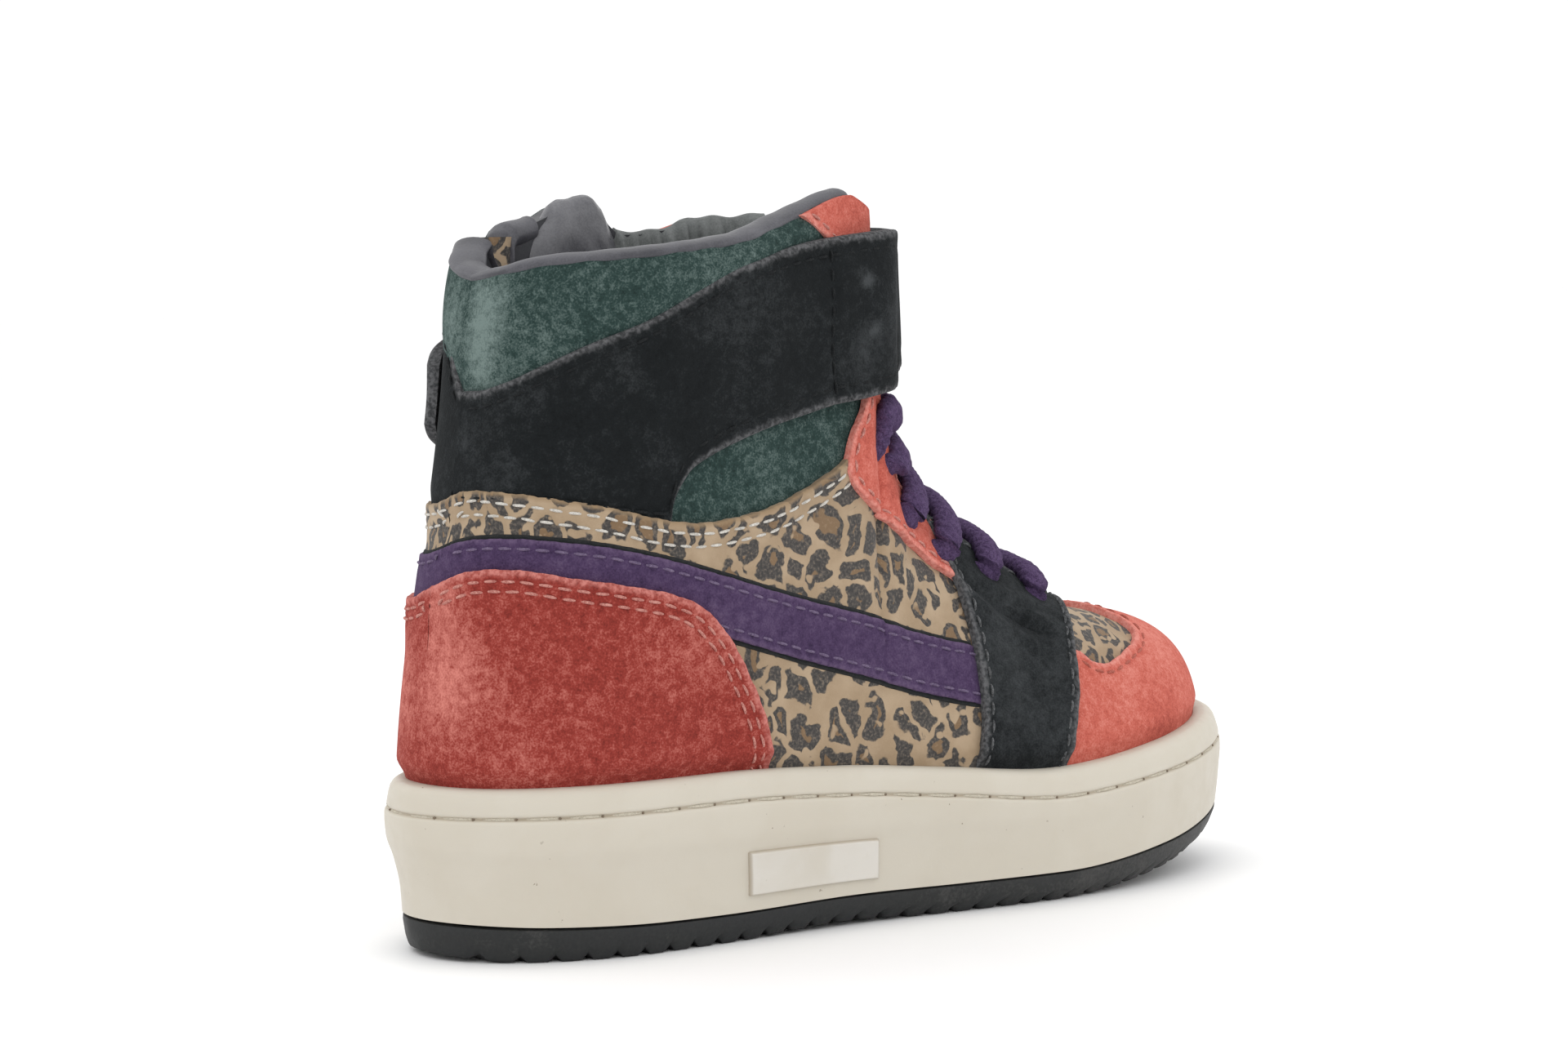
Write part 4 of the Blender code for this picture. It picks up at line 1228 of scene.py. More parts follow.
def panel(name, runs, finish, layer, sides=SIDES, lift=0.0, lift_reach=7.0, rows=(), jag=0.0, puff=None,
          patches=(), skive=0.0, thread_finish=None):
    """A sewn panel with its stitches. Its halves are joined where they meet at the heel, ridge or toe."""
    halves = [
        panel_half(side, runs, layer, lift, lift_reach, rows, jag, puff, patches, skive) for side in sides
    ]
    points, faces = join([(half.points, half.faces) for half in halves])
    keys = ("edge", "flat", "pale")
    values = {key: np.concatenate([getattr(half, key) for half in halves]) for key in keys}
    make_piece(name, points, faces, [finish], values)
    stitches = [row for half in halves for row in half.stitches]
    if thread_finish and stitches:
        make_stitches(name + "_stitches", np.concatenate(stitches), thread_finish)


STITCH_SIDES = 6
STITCH_SHARES = np.array([0.0, 0.06, 0.22, 0.5, 0.78, 0.94, 1.0])


def make_stitches(name, stitches, finish, radius=STITCH_RADIUS):
    """Stitches as short bowed cords that dive into the leather at both ends."""
    start, end, out = stitches[:, 0], stitches[:, 1], stitches[:, 2]
    along = unit(end - start)
    across = unit(np.cross(out, along))
    out = np.cross(along, across)
    bow = radius * (1.5 * np.sin(math.pi * STITCH_SHARES) ** 0.6 - 0.7)
    thick = radius * (0.35 + 0.65 * np.sin(math.pi * STITCH_SHARES) ** 0.5)
    turn = np.linspace(0.0, 2.0 * math.pi, STITCH_SIDES, endpoint=False)
    middle = start[:, None] + (end - start)[:, None] * STITCH_SHARES[None, :, None]
    middle = middle + out[:, None] * bow[None, :, None]
    ring = across[:, None] * np.cos(turn)[None, :, None] + out[:, None] * np.sin(turn)[None, :, None]
    points = middle[:, :, None] + ring[:, None] * thick[None, :, None, None]
    one = len(STITCH_SHARES) * STITCH_SIDES
    pattern = grid_faces(len(STITCH_SHARES), STITCH_SIDES, closed=True)
    pattern += [list(range(STITCH_SIDES)), list(range(one - STITCH_SIDES, one))]
    faces = [[k + n * one for k in face] for n in range(len(start)) for face in pattern]
    make_piece(name, points.reshape(-1, 3), faces, [finish])


# Outlines of the panels, by round and rise
COUNTER_EDGES = {
    OUTER: (
        (0, 47.6), (3, 48.4), (7, 49.8), (12, 50.8), (20, 50.8), (30, 49.4), (38, 48.3), (47, 46.7),
        (54, 44), (59.5, 38.5), (63.5, 31.5), (66.5, 24), (68.3, 14), (68.8, 11),
    ),
    INNER: (
        (0, 47.6), (3, 46.5), (6, 45.5), (10, 44.9), (16, 44.9), (26, 45.4), (38, 45.4), (47, 44.4),
        (54, 42), (59.5, 37.5), (63.5, 31), (66.5, 24), (68.3, 14), (68.8, 11),
    ),
}


def counter_runs(side):
    edge = COUNTER_EDGES[side]
    return (
        Run("edge", edge),
        Run("hidden", (edge[-1], (40, 12), (0, 12))),
        Run("seam", ((0, 12), edge[0])),
    )


BAND_MIDDLES = {
    OUTER: (
        (0, 49), (4, 49.9), (8, 50.5), (16, 50.9), (25, 50.5), (40, 48.6), (60, 44), (80, 38.5),
        (100, 33.5), (117.5, 30),
    ),
    INNER: (
        (0, 49), (4, 48.1), (8, 47.5), (16, 47.2), (25, 47.1), (40, 46), (60, 42.6), (80, 38),
        (100, 33.5), (117.5, 30),
    ),
}
BAND_HALF, BACKING_HALF = 5.4, 6.2


def band_runs(side, half):
    """A plain band of even width along the band's middle line."""
    line = np.array(BAND_MIDDLES[side], float)
    upper = line + (0.0, half)
    lower = line - (0.0, half)
    return (
        Run("edge", upper),
        Run("hidden", (upper[-1], lower[-1])),
        Run("edge", lower[::-1]),
        Run("seam", (lower[0], upper[0])),
    )


QUARTER_EDGES = {
    OUTER: (
        (0, 63.4), (4, 64.1), (9, 64.5), (14, 64.3), (20, 63.7), (28.5, 62.7), (38, 61.2), (49.5, 59),
        (57, 58.8), (66, 60), (77, 63.4), (85, 68.8), (89, 72.5),
    ),
    INNER: (
        (0, 63.4), (4, 62.3), (8, 61.7), (14, 61.4), (20, 61.4), (28.5, 61.2), (38, 60.4), (49.5, 59),
        (57, 58.8), (66, 60), (77, 63.4), (85, 68.8), (89, 72.5),
    ),
}


def quarter_runs(side):
    edge = QUARTER_EDGES[side]
    return (
        Run("edge", edge),
        Run("hidden", (edge[-1], (95, 68), (106, 60), (116, 52))),
        Run("hidden", ((116, 52), (120, 40), (120, 25), (119, 9))),
        Run("hidden", ((119, 9), (90, 10), (60, 12))),
        Run("hidden", ((60, 12), (59, 22), (54, 34), (44, 40), (25, 41), (0, 41))),
        Run("seam", ((0, 41), edge[0])),
    )


ANKLE = (
    Run("hidden", ((0, 73), (36, 72), (44, 58))),
    Run("hidden", ((44, 58), (58, 55), (72, 57), (88, 64))),
    Run("hidden", ((88, 64), (93, 74), (93, 90), (90, 104), (88.5, TOP))),
    Run("collar", ((88.5, TOP), (0, TOP))),
    Run("seam", ((0, TOP), (0, 73))),
)
EYESTAY = (
    Run("edge", (
        (79.5, TOP), (83.5, 108), (87, 99), (89, 89), (88.8, 79.5), (86.3, 72.7), (85.6, 67),
        (88.9, 62.2), (96.9, 58), (106.9, 54), (112.5, 50.3), (116.5, 47.8),
    )),
    Run("edge", ((116.5, 47.8), (118.4, 48.4), (118.6, 50.5))),
    Run("hidden", ((118.6, 50.5), (118, 56), (117, TOP))),
    Run("throat", ((117, TOP), (92.5, TOP))),
    Run("collar", ((92.5, TOP), (79.5, TOP))),
)
FOREFOOT = (
    Run("edge", (
        (112.6, 10), (113.4, 14), (114.9, 21), (115.6, 30), (115.5, 40), (114.9, 48), (113.6, 54.5),
        (112.6, TOP),
    )),
    Run("throat", ((112.6, TOP), (143.5, TOP))),
    Run("ridge", ((143.5, TOP), (150.5, TOP))),
    Run("edge", (
        (150.5, TOP), (147.6, 49.5), (143.2, 43.6), (139.4, 35), (137.3, 25.5), (135, 18), (132.6, 9),
    )),
    Run("hidden", ((132.6, 9), (122, 9), (112.6, 10))),
)
VAMP = (
    Run("hidden", ((134, 22), (140, 23), (152, 23), (166, 26), (174, 32), (176, TOP))),
    Run("ridge", ((176, TOP), (147, TOP))),
    Run("hidden", ((147, TOP), (142, 42), (136, 32), (134, 22))),
)
TOE_CAP = (
    Run("hidden", ((130.5, 9), (133, 18), (135.4, 26), (137.6, 34.2))),
    Run("edge", (
        (137.6, 34.2), (140.5, 33.4), (143.4, 31), (147, 29.7), (151.5, 30.2), (157, 31.4),
        (162.6, 32.8), (165.6, 35), (165.4, 38), (163.6, 41.5), (162.6, 46), (162.4, TOP),
    )),
    Run("ridge", ((162.4, TOP), (TOE_END, TOP))),
    Run("seam", ((TOE_END, TOP), (TOE_END, 9))),
    Run("hidden", ((TOE_END, 9), (190, 9), (165, 9), (145, 9), (130.5, 9))),
)
ANKLE_BACK = (
    Run("hidden", ((0, 58), (14, 59), (30, 58))),
    Run("edge", ((30, 58), (30, 75), (30, 94))),
    Run("edge", ((30, 94), (22, 94.5), (15, 93), (10, 89.5), (6, 84.5), (3, 81.6), (0, 80.8))),
    Run("seam", ((0, 80.8), (0, 58))),
)

# Paler and darker places of the suede
PATCH = "side round rise reach pale"
# The pale places at rounds 3 to 8 are brushed nap and also painted rim light from behind.
COUNTER_PATCHES = table(
    PATCH,
    (OUTER, 6, 32, 9, 0.34), (OUTER, 3, 46, 6, 0.25), (OUTER, 56, 36, 8, 0.10),
    (INNER, 8, 30, 10, 0.25), (OUTER, 28, 46, 12, -0.06), (OUTER, 20, 20, 9, 0.06),
)
# The pale places at rounds 6 to 9 are brushed nap and also painted rim light from behind.
COLLAR_PATCHES = table(
    PATCH,
    (OUTER, 9, 95, 8, 0.42), (OUTER, 24, 90, 7, 0.12), (OUTER, 60, 104, 8, 0.08),
    (INNER, 9, 95, 8, 0.30), (OUTER, 74, 66, 8, 0.05), (OUTER, 6, 86, 6, 0.30),
)
TOE_PATCHES = table(
    PATCH,
    (OUTER, 152, 24, 8, 0.14), (OUTER, 172, 30, 9, 0.20), (OUTER, 188, 22, 8, -0.1),
    (OUTER, 160, 16, 7, -0.12), (INNER, 165, 28, 9, 0.15),
)
FOREFOOT_PATCHES = table(
    PATCH,
    (OUTER, 126, 28, 14, 0.22), (OUTER, 131, 45, 6, 0.16), (OUTER, 120, 44, 6, 0.16),
    (INNER, 126, 30, 14, 0.18),
)
EYESTAY_PATCHES = table(
    PATCH,
    (OUTER, 92, 66, 5, 0.12), (OUTER, 106, 57, 5, 0.10), (OUTER, 98, 66, 5, -0.15),
    (INNER, 95, 64, 8, 0.10),
)

# The padded collar swells between the strap's upper edge and the binding
COLLAR_LINE = table("round strap", (0, 81), (20, 84), (40, 90.5), (60, 98), (80, 106))
COLLAR_SWELL, SWELL_END, SWELL_FULL = 1.5, 92.0, 78.0


def collar_puff(side, places):
    low = look_up(COLLAR_LINE, "strap", places[:, 0])
    high = top_rise(side, places[:, 0])
    share = np.clip((places[:, 1] - low) / np.maximum(high - low, 1.0), 0.0, 1.0)
    return COLLAR_SWELL * np.sin(math.pi * share) ** 0.8 * smooth_step(SWELL_END, SWELL_FULL, places[:, 0])


def band_edge(side):
    return band_runs(side, BAND_HALF)


def backing_edge(side):
    return band_runs(side, BACKING_HALF)


def make_panels():
    panel("collar_panels", ANKLE, "green_suede", layer=0.34, puff=collar_puff,
          patches=COLLAR_PATCHES)
    panel("quarter", quarter_runs, "leopard_print", layer=0.85, lift=1.0, rows=(1.9, 4.1),
          jag=0.16, skive=7.0, thread_finish="white_thread")
    panel("vamp_insert", VAMP, "leopard_print", layer=0.35)
    panel("band_backing", backing_edge, "underlay_suede", layer=1.15, skive=5.0)
    panel("heel_band", band_edge, "purple_suede", layer=1.75, rows=(1.7,), jag=0.08,
          skive=5.0, thread_finish="lilac_thread")
    panel("heel_counter_panel", counter_runs, "coral_suede", layer=2.0, lift=1.0,
          lift_reach=11.0, rows=(2.0, 3.7), jag=0.12, patches=COUNTER_PATCHES, thread_finish="pink_thread")
    panel("ankle_back", ANKLE_BACK, "black_suede", layer=1.5, sides=(INNER,), rows=(2.0,),
          jag=0.06, skive=6.0, thread_finish="dark_thread")
    panel("eyestay", EYESTAY, "lit_coral_suede", layer=1.95, lift=0.25, rows=(1.5,), jag=0.06,
          patches=EYESTAY_PATCHES, skive=6.0, thread_finish="pink_thread")
    panel("toe_cap_panel", TOE_CAP, "lit_coral_suede", layer=1.35, lift=0.35, rows=(1.9,), jag=0.14,
          patches=TOE_PATCHES, thread_finish="toe_thread")
    panel("forefoot_panel", FOREFOOT, "black_suede", layer=1.95, lift=0.5, rows=(1.8,),
          jag=0.08, patches=FOREFOOT_PATCHES, thread_finish="edge_thread")


# The base shell that carries the panels, with the lining inside it
SHELL_RIBS, SHELL_STEPS = 220, 66


def make_shell():
    s = np.linspace(0.0, 1.0, SHELL_RIBS)
    rise = np.linspace(0.0, 1.0, SHELL_STEPS)
    points, faces, finish, start = [], [], [], 0
    for side in SIDES:
        edge = cut_share(side, s)
        t = rise[:, None] * edge[None, :]
        around = np.broadcast_to(s, t.shape)
        base = on_last(side, around, t)
        wall = wall_at(around, base[..., 2])
        outer = off_last(side, around, t, np.zeros(t.shape))
        inner = off_last(side, around, t, -wall)
        closed = (edge >= 1.0) & on_ridge(s)
        for surface, slot in ((outer, 1), (inner, 0)):
            points.append(surface.reshape(-1, 3))
            made = grid_faces(SHELL_STEPS, SHELL_RIBS, start)
            faces += made
            finish += [slot] * len(made)
            start += surface.shape[0] * surface.shape[1]
        below = start - 2 * SHELL_STEPS * SHELL_RIBS
        within = start - SHELL_STEPS * SHELL_RIBS
        last = (SHELL_STEPS - 1) * SHELL_RIBS
        for k in range(SHELL_RIBS - 1):
            faces.append((below + k, below + k + 1, within + k + 1, within + k))
            finish.append(0)
            if not (closed[k] and closed[k + 1]):
                low, high = below + last + k, within + last + k
                faces.append((low, low + 1, high + 1, high))
                finish.append(0)
    made = make_piece("lined_shell", np.concatenate(points), faces, ["lining_leather", "underlay_suede"],
                      face_finish=finish)
    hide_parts("upper", "heel_counter", "toe_cap")


# Strap
STRAP_STEPS, STRAP_ACROSS = 380, 26
STRAP_LOW, STRAP_HIGH, STRAP_LEVELS = 70.0, 124.0, 28
PLACE_STEPS = 121


def ankle_table(side):
    """Points and outward directions round the ankle, by height and by place from back to front."""
    tables = []
    for z in np.linspace(STRAP_LOW, STRAP_HIGH, STRAP_LEVELS):
        points, normals = girth(side, z)
        run = lengths_along(points)
        at = np.linspace(0.0, 1.0, PLACE_STEPS) * run[-1]
        both = np.concatenate([points, normals], axis=1)
        tables.append(np.stack([np.interp(at, run, both[:, k]) for k in range(6)], -1))
    return np.array(tables)


def off_ankle(side, place, z, distance):
    """Points off the upper at places round the ankle and heights, read from the ankle's table."""
    ankle = ANKLE_TABLES[side]
    row = np.clip((z - STRAP_LOW) / (STRAP_HIGH - STRAP_LOW), 0.0, 1.0) * (STRAP_LEVELS - 1)
    at = np.clip(place, 0.0, 1.0) * (PLACE_STEPS - 1)
    i = np.minimum(row.astype(int), STRAP_LEVELS - 2)
    j = np.minimum(at.astype(int), PLACE_STEPS - 2)
    a, b = (row - i)[..., None], (at - j)[..., None]
    both = (
        ankle[i, j] * (1 - a) * (1 - b) + ankle[i + 1, j] * a * (1 - b)
        + ankle[i, j + 1] * (1 - a) * b + ankle[i + 1, j + 1] * a * b
    )
    return both[..., :3] + unit(both[..., 3:]) * distance[..., None]


STRAP_ROWS = column(STRAP, "round")
STRAP_TURNS = np.where(column(STRAP, "side") == OUTER, STRAP_ROWS, 2.0 - STRAP_ROWS)
STRAP_EDGE_ROUND = 0.8
STRAP_GROOVE, STRAP_SEAM_GROOVE, STRAP_GROOVE_REACH = 0.2, 0.3, 0.5
STRAP_SEAM_TURN = 0.70
STRAP_SEWN, STRAP_SEWN_END, STRAP_FREE = 0.9, 0.45, 0.8
STRAP_INSET, STRAP_FOLD = 3.0, (0.86, 1.03)
STRAP_SEW_SINK, STRAP_BACK, STRAP_BACK_ROUND = 0.3, -0.05, 0.04
STRAP_SKIVE, SKIVE_FROM, SKIVE_FULL, SKIVE_END = 0.75, 82.0, 76.0, 0.46


def strap_value(name, turned):
    return through(STRAP_TURNS, column(STRAP, name), turned)


def strap_face(turned):
    """The height of the strap's face over its own stand, less where it is sewn down."""
    return STRAP_THICKNESS - STRAP_SEWN + STRAP_SEWN * smooth_step(STRAP_SEWN_END, STRAP_FREE, turned)


def strap_surface(turned, share, thickness):
    """Points of the strap by turn, 0 at the back and 1 at the front, and by share up from its lower edge."""
    low, high, stand = (strap_value(name, turned) for name in ("low", "high", "stand"))
    place = np.where(turned <= 1.0, turned, 2.0 - turned)
    z = low + (high - low) * share
    stiff = smooth_step(*STRAP_UPRIGHT, place)
    drawn = z + ((low + high) / 2.0 - z) * stiff
    points = np.where(
        (turned <= 1.0)[..., None],
        off_ankle(OUTER, place, drawn, stand + thickness),
        off_ankle(INNER, place, drawn, stand + thickness),
    )
    points[..., 2] = z
    return points


# Brushed and rubbed places of the strap, with two small pale spots near its fold
STRAP_REACH = 75.0
STRAP_PATCHES = table(
    "turn share reach pale",
    (0.02, 0.62, 4.0, 0.16), (0.08, 0.30, 4.0, 0.14), (0.15, 0.55, 4.0, -0.12),
    (0.30, 0.30, 8.0, -0.08), (0.48, 0.75, 7.0, 0.05), (0.62, 0.40, 8.0, -0.05),
    (0.76, 0.30, 5.0, 0.16), (0.84, 0.60, 6.0, 0.14), (0.775, 0.71, 1.0, 0.7),
    (0.79, 0.39, 0.9, 0.6), (0.72, 0.80, 6.0, -0.12),
)


def make_strap():
    turns = np.linspace(STRAP_TURNS[0], STRAP_TURNS[-1], STRAP_STEPS)
    fine = (1.0 - np.cos(np.linspace(0.0, math.pi, STRAP_ACROSS))) / 2.0
    turned, share = np.meshgrid(turns, fine, indexing="ij")
    low, high = strap_value("low", turned), strap_value("high", turned)
    width = high - low
    edge = np.minimum(share, 1.0 - share) * width
    end = (STRAP_TURNS[-1] - turned) * STRAP_REACH
    edge = np.minimum(edge, np.maximum(end, 0.0))
    rounded = rounded_by(edge, STRAP_EDGE_ROUND)
    groove = STRAP_GROOVE * bell(edge - STRAP_INSET, STRAP_GROOVE_REACH)
    seam = (turned - STRAP_SEAM_TURN) * STRAP_REACH
    groove = groove + STRAP_SEAM_GROOVE * bell(seam, STRAP_GROOVE_REACH)
    wave = 0.12 * np.sin(turned * 23.0 + share * 3.0) + 0.10 * np.sin(turned * 51.0 - share * 5.0)
    skived = STRAP_SKIVE * smooth_step(SKIVE_FROM, SKIVE_FULL, low + width * share) * (turned < SKIVE_END)
    outer = strap_surface(turned, share, strap_face(turned) - rounded - groove + wave - skived)
    inner = strap_surface(turned, share, STRAP_BACK + STRAP_BACK_ROUND * rounded)
    rings = np.concatenate([outer, inner[:, ::-1]], axis=1)
    points, faces = loft(rings)
    both = np.concatenate([edge, edge[:, ::-1]], axis=1).ravel()
    pale = np.zeros(turned.shape)
    for patch in STRAP_PATCHES:
        across = bell((share - patch.share) * width, patch.reach)
        pale += patch.pale * bell((turned - patch.turn) * STRAP_REACH, patch.reach) * across
    pale = np.concatenate([pale, np.zeros(pale.shape)], axis=1).ravel()
    made = make_piece("ankle_strap", points, faces, ["black_suede"],
                      {"edge": both, "pale": pale})
    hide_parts("strap")
    make_strap_stitches()


def make_strap_stitches():
    """Dark rows along both edges of the strap, and the row across it where it is doubled."""
    cross = np.linspace(0.04, 0.96, STRAP_ACROSS)
    rows = [(np.full(STRAP_ACROSS, STRAP_SEAM_TURN), cross)]
    for start, end in ((0.01, STRAP_FOLD[0]), (STRAP_FOLD[1], STRAP_TURNS[-1] - 0.03)):
        turned = np.linspace(start, end, STRAP_STEPS)
        inset = STRAP_INSET / (strap_value("high", turned) - strap_value("low", turned))
        rows += [(turned, inset), (turned, 1.0 - inset)]
    sewn = []
    for turned, share in rows:
        lift = strap_face(turned) - STRAP_SEW_SINK
        line = strap_surface(turned, share, lift)
        out = strap_surface(turned, share, lift + 1.0) - line
        sewn.append(stitches_along(line, out))
    make_stitches("strap_stitches", np.concatenate(sewn), "dark_thread")


# Rolls over the collar's top edge: the binding, and the padded hump and pleated lining of the far side
ROLL_SIDES, ROLL_STEP = 20, 0.3
ROLL_OVER, ROLL_LEAST_STEP, ROLL_LEAST_TIP = 0.75, 0.05, 0.02
PLEAT_PITCH = 2.5
RollRun = namedtuple("RollRun", "side start end")
Roll = namedtuple("Roll", "name finish high drop inset pleat tip runs")
ROLLS = (
    Roll("collar_binding", "binding_leather", 1.45, 0.1, 0.0, 0.0, 2.2,
         (RollRun(OUTER, 88.0, 0.0), RollRun(INNER, 0.0, 36.0))),
    Roll("split_cap", "binding_leather", 2.6, 1.3, 0.0, 0.0, 1.5, (RollRun(INNER, 39.6, 53.0),)),
    Roll("padded_collar", "padded_leather", 9.0, 7.4, 1.5, 0.0, 7.5, (RollRun(INNER, 46.5, 74.0),)),
    Roll("pleated_collar", "pleated_cloth", 7.6, 6.9, 1.3, 0.26, 2.0, (RollRun(INNER, 70.0, 90.0),)),
)


def binding_line(run):
    """The middle of the collar's top edge, its half width and its outward direction."""
    count = int(abs(run.end - run.start) / ROLL_STEP) + 2
    rounds = np.linspace(run.start, run.end, count)
    s, t = shares_at(run.side, np.stack([rounds, top_rise(run.side, rounds)], -1))
    edge = on_last(run.side, s, t)
    out = unit(shared_normal(run.side, s, t) * (1.0, 1.0, 0.0))
    half = wall_at(s, edge[:, 2]) / 2.0
    return edge - out * half[:, None], half + ROLL_OVER, out


def make_roll(roll):
    turn = np.linspace(0.0, 2.0 * math.pi, ROLL_SIDES, endpoint=False)
    lines = [binding_line(run) for run in roll.runs]
    middle, half, out = (np.concatenate([line[k] for line in lines]) for k in range(3))
    keep = np.append(True, np.linalg.norm(np.diff(middle, axis=0), axis=1) > ROLL_LEAST_STEP)
    middle, half, out = middle[keep], half[keep], out[keep]
    run = lengths_along(middle)
    tip = np.sqrt(np.clip(np.minimum(run, run[-1] - run) / roll.tip, ROLL_LEAST_TIP, 1.0))
    wave = 1.0 + 0.03 * np.sin(run * 0.9) + 0.025 * np.sin(run * 0.37 + 1.0)
    pleats = wave + roll.pleat * np.sin(run * 2.0 * math.pi / PLEAT_PITCH + 0.9 * np.sin(run * 0.7))
    up = np.array([0.0, 0.0, 1.0])
    ring = (middle - out * roll.inset)[:, None] - up * roll.drop
    ring = ring + out[:, None] * (np.cos(turn)[None, :, None] * (half * pleats * tip)[:, None, None])
    ring = ring + up * (np.sin(turn)[None, :, None] * (roll.high * wave * tip)[:, None, None])
    points, faces = loft(ring)
    made = make_piece(roll.name, points, faces, [roll.finish])


# The printed facing on the edge of the collar's split
FACING_ROUNDS, FACING_RISES = (38.8, 40.8), (93.0, 108.0)
FACING_OUT, FACING_DEPTH, FACING_STEPS = 0.9, 6.0, (24, 10)


def make_facing():
    rises = np.linspace(*FACING_RISES, FACING_STEPS[0])
    layers = []
    for place in FACING_ROUNDS:
        places = np.stack([np.full(len(rises), place), rises], -1)
        s, t = shares_at(INNER, places)
        wall = wall_at(s, on_last(INNER, s, t)[:, 2]) + FACING_OUT
        across = np.linspace(-1.0, 0.0, FACING_STEPS[1])
        rows = [off_last(INNER, s, t, a * wall + FACING_OUT) for a in across]
        layers.append(np.stack(rows, axis=1))
    points, faces = plate_between(*layers)
    depths = np.linspace(0.0, FACING_DEPTH, FACING_STEPS[1])
    flat = np.stack(np.meshgrid(rises, depths, [0.0], indexing="ij"), -1)
    flat = np.tile(flat.reshape(-1, 3), (2, 1))
    values = {"flat": flat, "edge": np.full(len(points), FAR)}
    make_piece("split_facing", points, faces, ["leopard_print"], values)


# Tongue, whose padded top ends lower than the plain one of the part
TONGUE_TOP = 124.0
TONGUE_ROWS, TONGUE_TOP_ROWS, TONGUE_HALF_STEPS = 46, 12, 17
TONGUE_ROUND = 3.0


def tongue_row(z, half):
    """Points of the tongue's face and back along one row across the ridge."""
    s = float(ridge_at(z))
    rows = []
    for side in SIDES:
        ys = np.linspace(0.0, half, TONGUE_HALF_STEPS)
        thin = TONGUE_THICKNESS / 2.0 * rounded_by(half - ys, TONGUE_ROUND) / TONGUE_ROUND
        face = -TONGUE_CLEARANCE - thin
        back = -TONGUE_CLEARANCE - TONGUE_THICKNESS + thin
        both = across_ridge(side, s, np.tile(ys, 2), np.concatenate([face, back]))
        rows.append(both.reshape(2, TONGUE_HALF_STEPS, 3))
    outer, inner = rows
    return np.concatenate([outer[:, ::-1], inner[:, 1:]], axis=1)


def make_tongue():
    heights = np.linspace(TONGUE[-1].ridge, TONGUE[0].ridge, TONGUE_ROWS)
    rows = np.array([tongue_row(z, half) for z, half in zip(heights, look_up(TONGUE, "half", heights))])
    layers = []
    for strip in (rows[:, 0], rows[:, 1]):
        end = strip[0] * (1.0, TONGUE_TAPER, 0.0) + (-TONGUE_SET_BACK, 0.0, TONGUE_TOP)
        rise = np.linspace(1.0, 0.0, TONGUE_TOP_ROWS, endpoint=False)[:, None, None]
        layers.append(np.concatenate([strip[0] + (end - strip[0]) * rise, strip]))
    face, back = layers
    points, faces = loft(np.concatenate([face, back[:, ::-1]], axis=1))
    made = make_piece("padded_tongue", points, faces, ["tongue_cloth"])
    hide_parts("tongue")


# Laces
LACE_WIDE, LACE_THICK = 3.15, 2.0
LACE_SIDES, LACE_SPACING = 24, 0.4
LACE_STATIONS = table(
    "share lift", (1.14, -2.6), (1.10, 0.6), (1.0, 3.2), (0.82, 3.6), (0.5, 3.3), (0.2, 3.5),
)
BRAID_PITCH, BRAID_RELIEF, BRAID_MIDDLE = 3.4, 0.24, 1.2
LACE_SQUEEZE, SQUEEZE_LENGTH = 0.36, 6.5


def lace_bar(z):
    """The middle line of one bar of the lace, out of one eyelet, over the tongue and into the other."""
    s = float(ridge_at(z))
    half = float(throat_half(on_last(OUTER, np.array([s]), np.ones(1))[0, 0])) + EYELET_INSET
    route = []
    for side in SIDES:
        points = across_ridge(side, s, half * column(LACE_STATIONS, "share"), column(LACE_STATIONS, "lift"))
        route.append(points if side == OUTER else points[::-1])
    return curve_through(np.concatenate(route), LACE_SPACING)


def sweep(line, wide, thick, out_hint):
    """Rings of an oval cord along a line, with a braided surface."""
    along = unit(np.gradient(line, axis=0))
    across = unit(np.cross(along, out_hint))
    out = np.cross(across, along)
    turn = np.linspace(0.0, 2.0 * math.pi, LACE_SIDES, endpoint=False)
    run = lengths_along(line)[:, None]
    twist = 2.0 * math.pi * run / BRAID_PITCH
    braid = np.abs(np.sin(2.0 * turn[None, :] + twist)) + np.abs(np.sin(2.0 * turn[None, :] - twist))
    near_end = smooth_step(SQUEEZE_LENGTH, 0.0, np.minimum(run, run[-1] - run))
    relief = BRAID_RELIEF * (1.0 - near_end) * (braid - BRAID_MIDDLE) / 2.0
    size = 1.0 + relief - LACE_SQUEEZE * near_end
    ring = line[:, None] + across[:, None] * (wide * size * np.cos(turn)[None, :])[..., None]
    return ring + out[:, None] * (thick * size * np.sin(turn)[None, :])[..., None]


def make_laces():
    bars = []
    for z in np.linspace(LACE_TOP, LACE_BOTTOM, LACE_ROWS):
        line = lace_bar(z)
        s = np.array([float(ridge_at(z))])
        hint = shared_normal(OUTER, s, np.ones(1))[0]
        bars.append(loft(sweep(line, LACE_WIDE, LACE_THICK, np.broadcast_to(hint, line.shape))))
    points, faces = join(bars)
    made = make_piece("laces", points, faces, ["lace_cord"])
    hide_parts("lace")


# Sole
GROOVE_DROP, GROOVE_WIDTH, GROOVE_DEPTH = 4.85, 0.36, 0.5
LIP_ROUND, LIP_SET_BACK, LIP_SET_REACH = 0.6, 0.18, 0.3
# The second value makes the cup's inner rim darker brown, where the upper goes in.
CUP_INSIDE, RIM_DARKENING = (1.0, 0.9, 0.5, 0.0), 0.35
UPPER_DROPS = (0.0, 0.12, 0.3, 0.6, 1.2, 2.2, 3.2, 3.9, 4.25, 4.5, 4.7, 4.85, 5.0, 5.2, 5.45, 5.8, 6.6)
LOWER_SHARES = np.linspace(0.0, 1.0, 26)[1:]
SOLE_STATIONS = 260


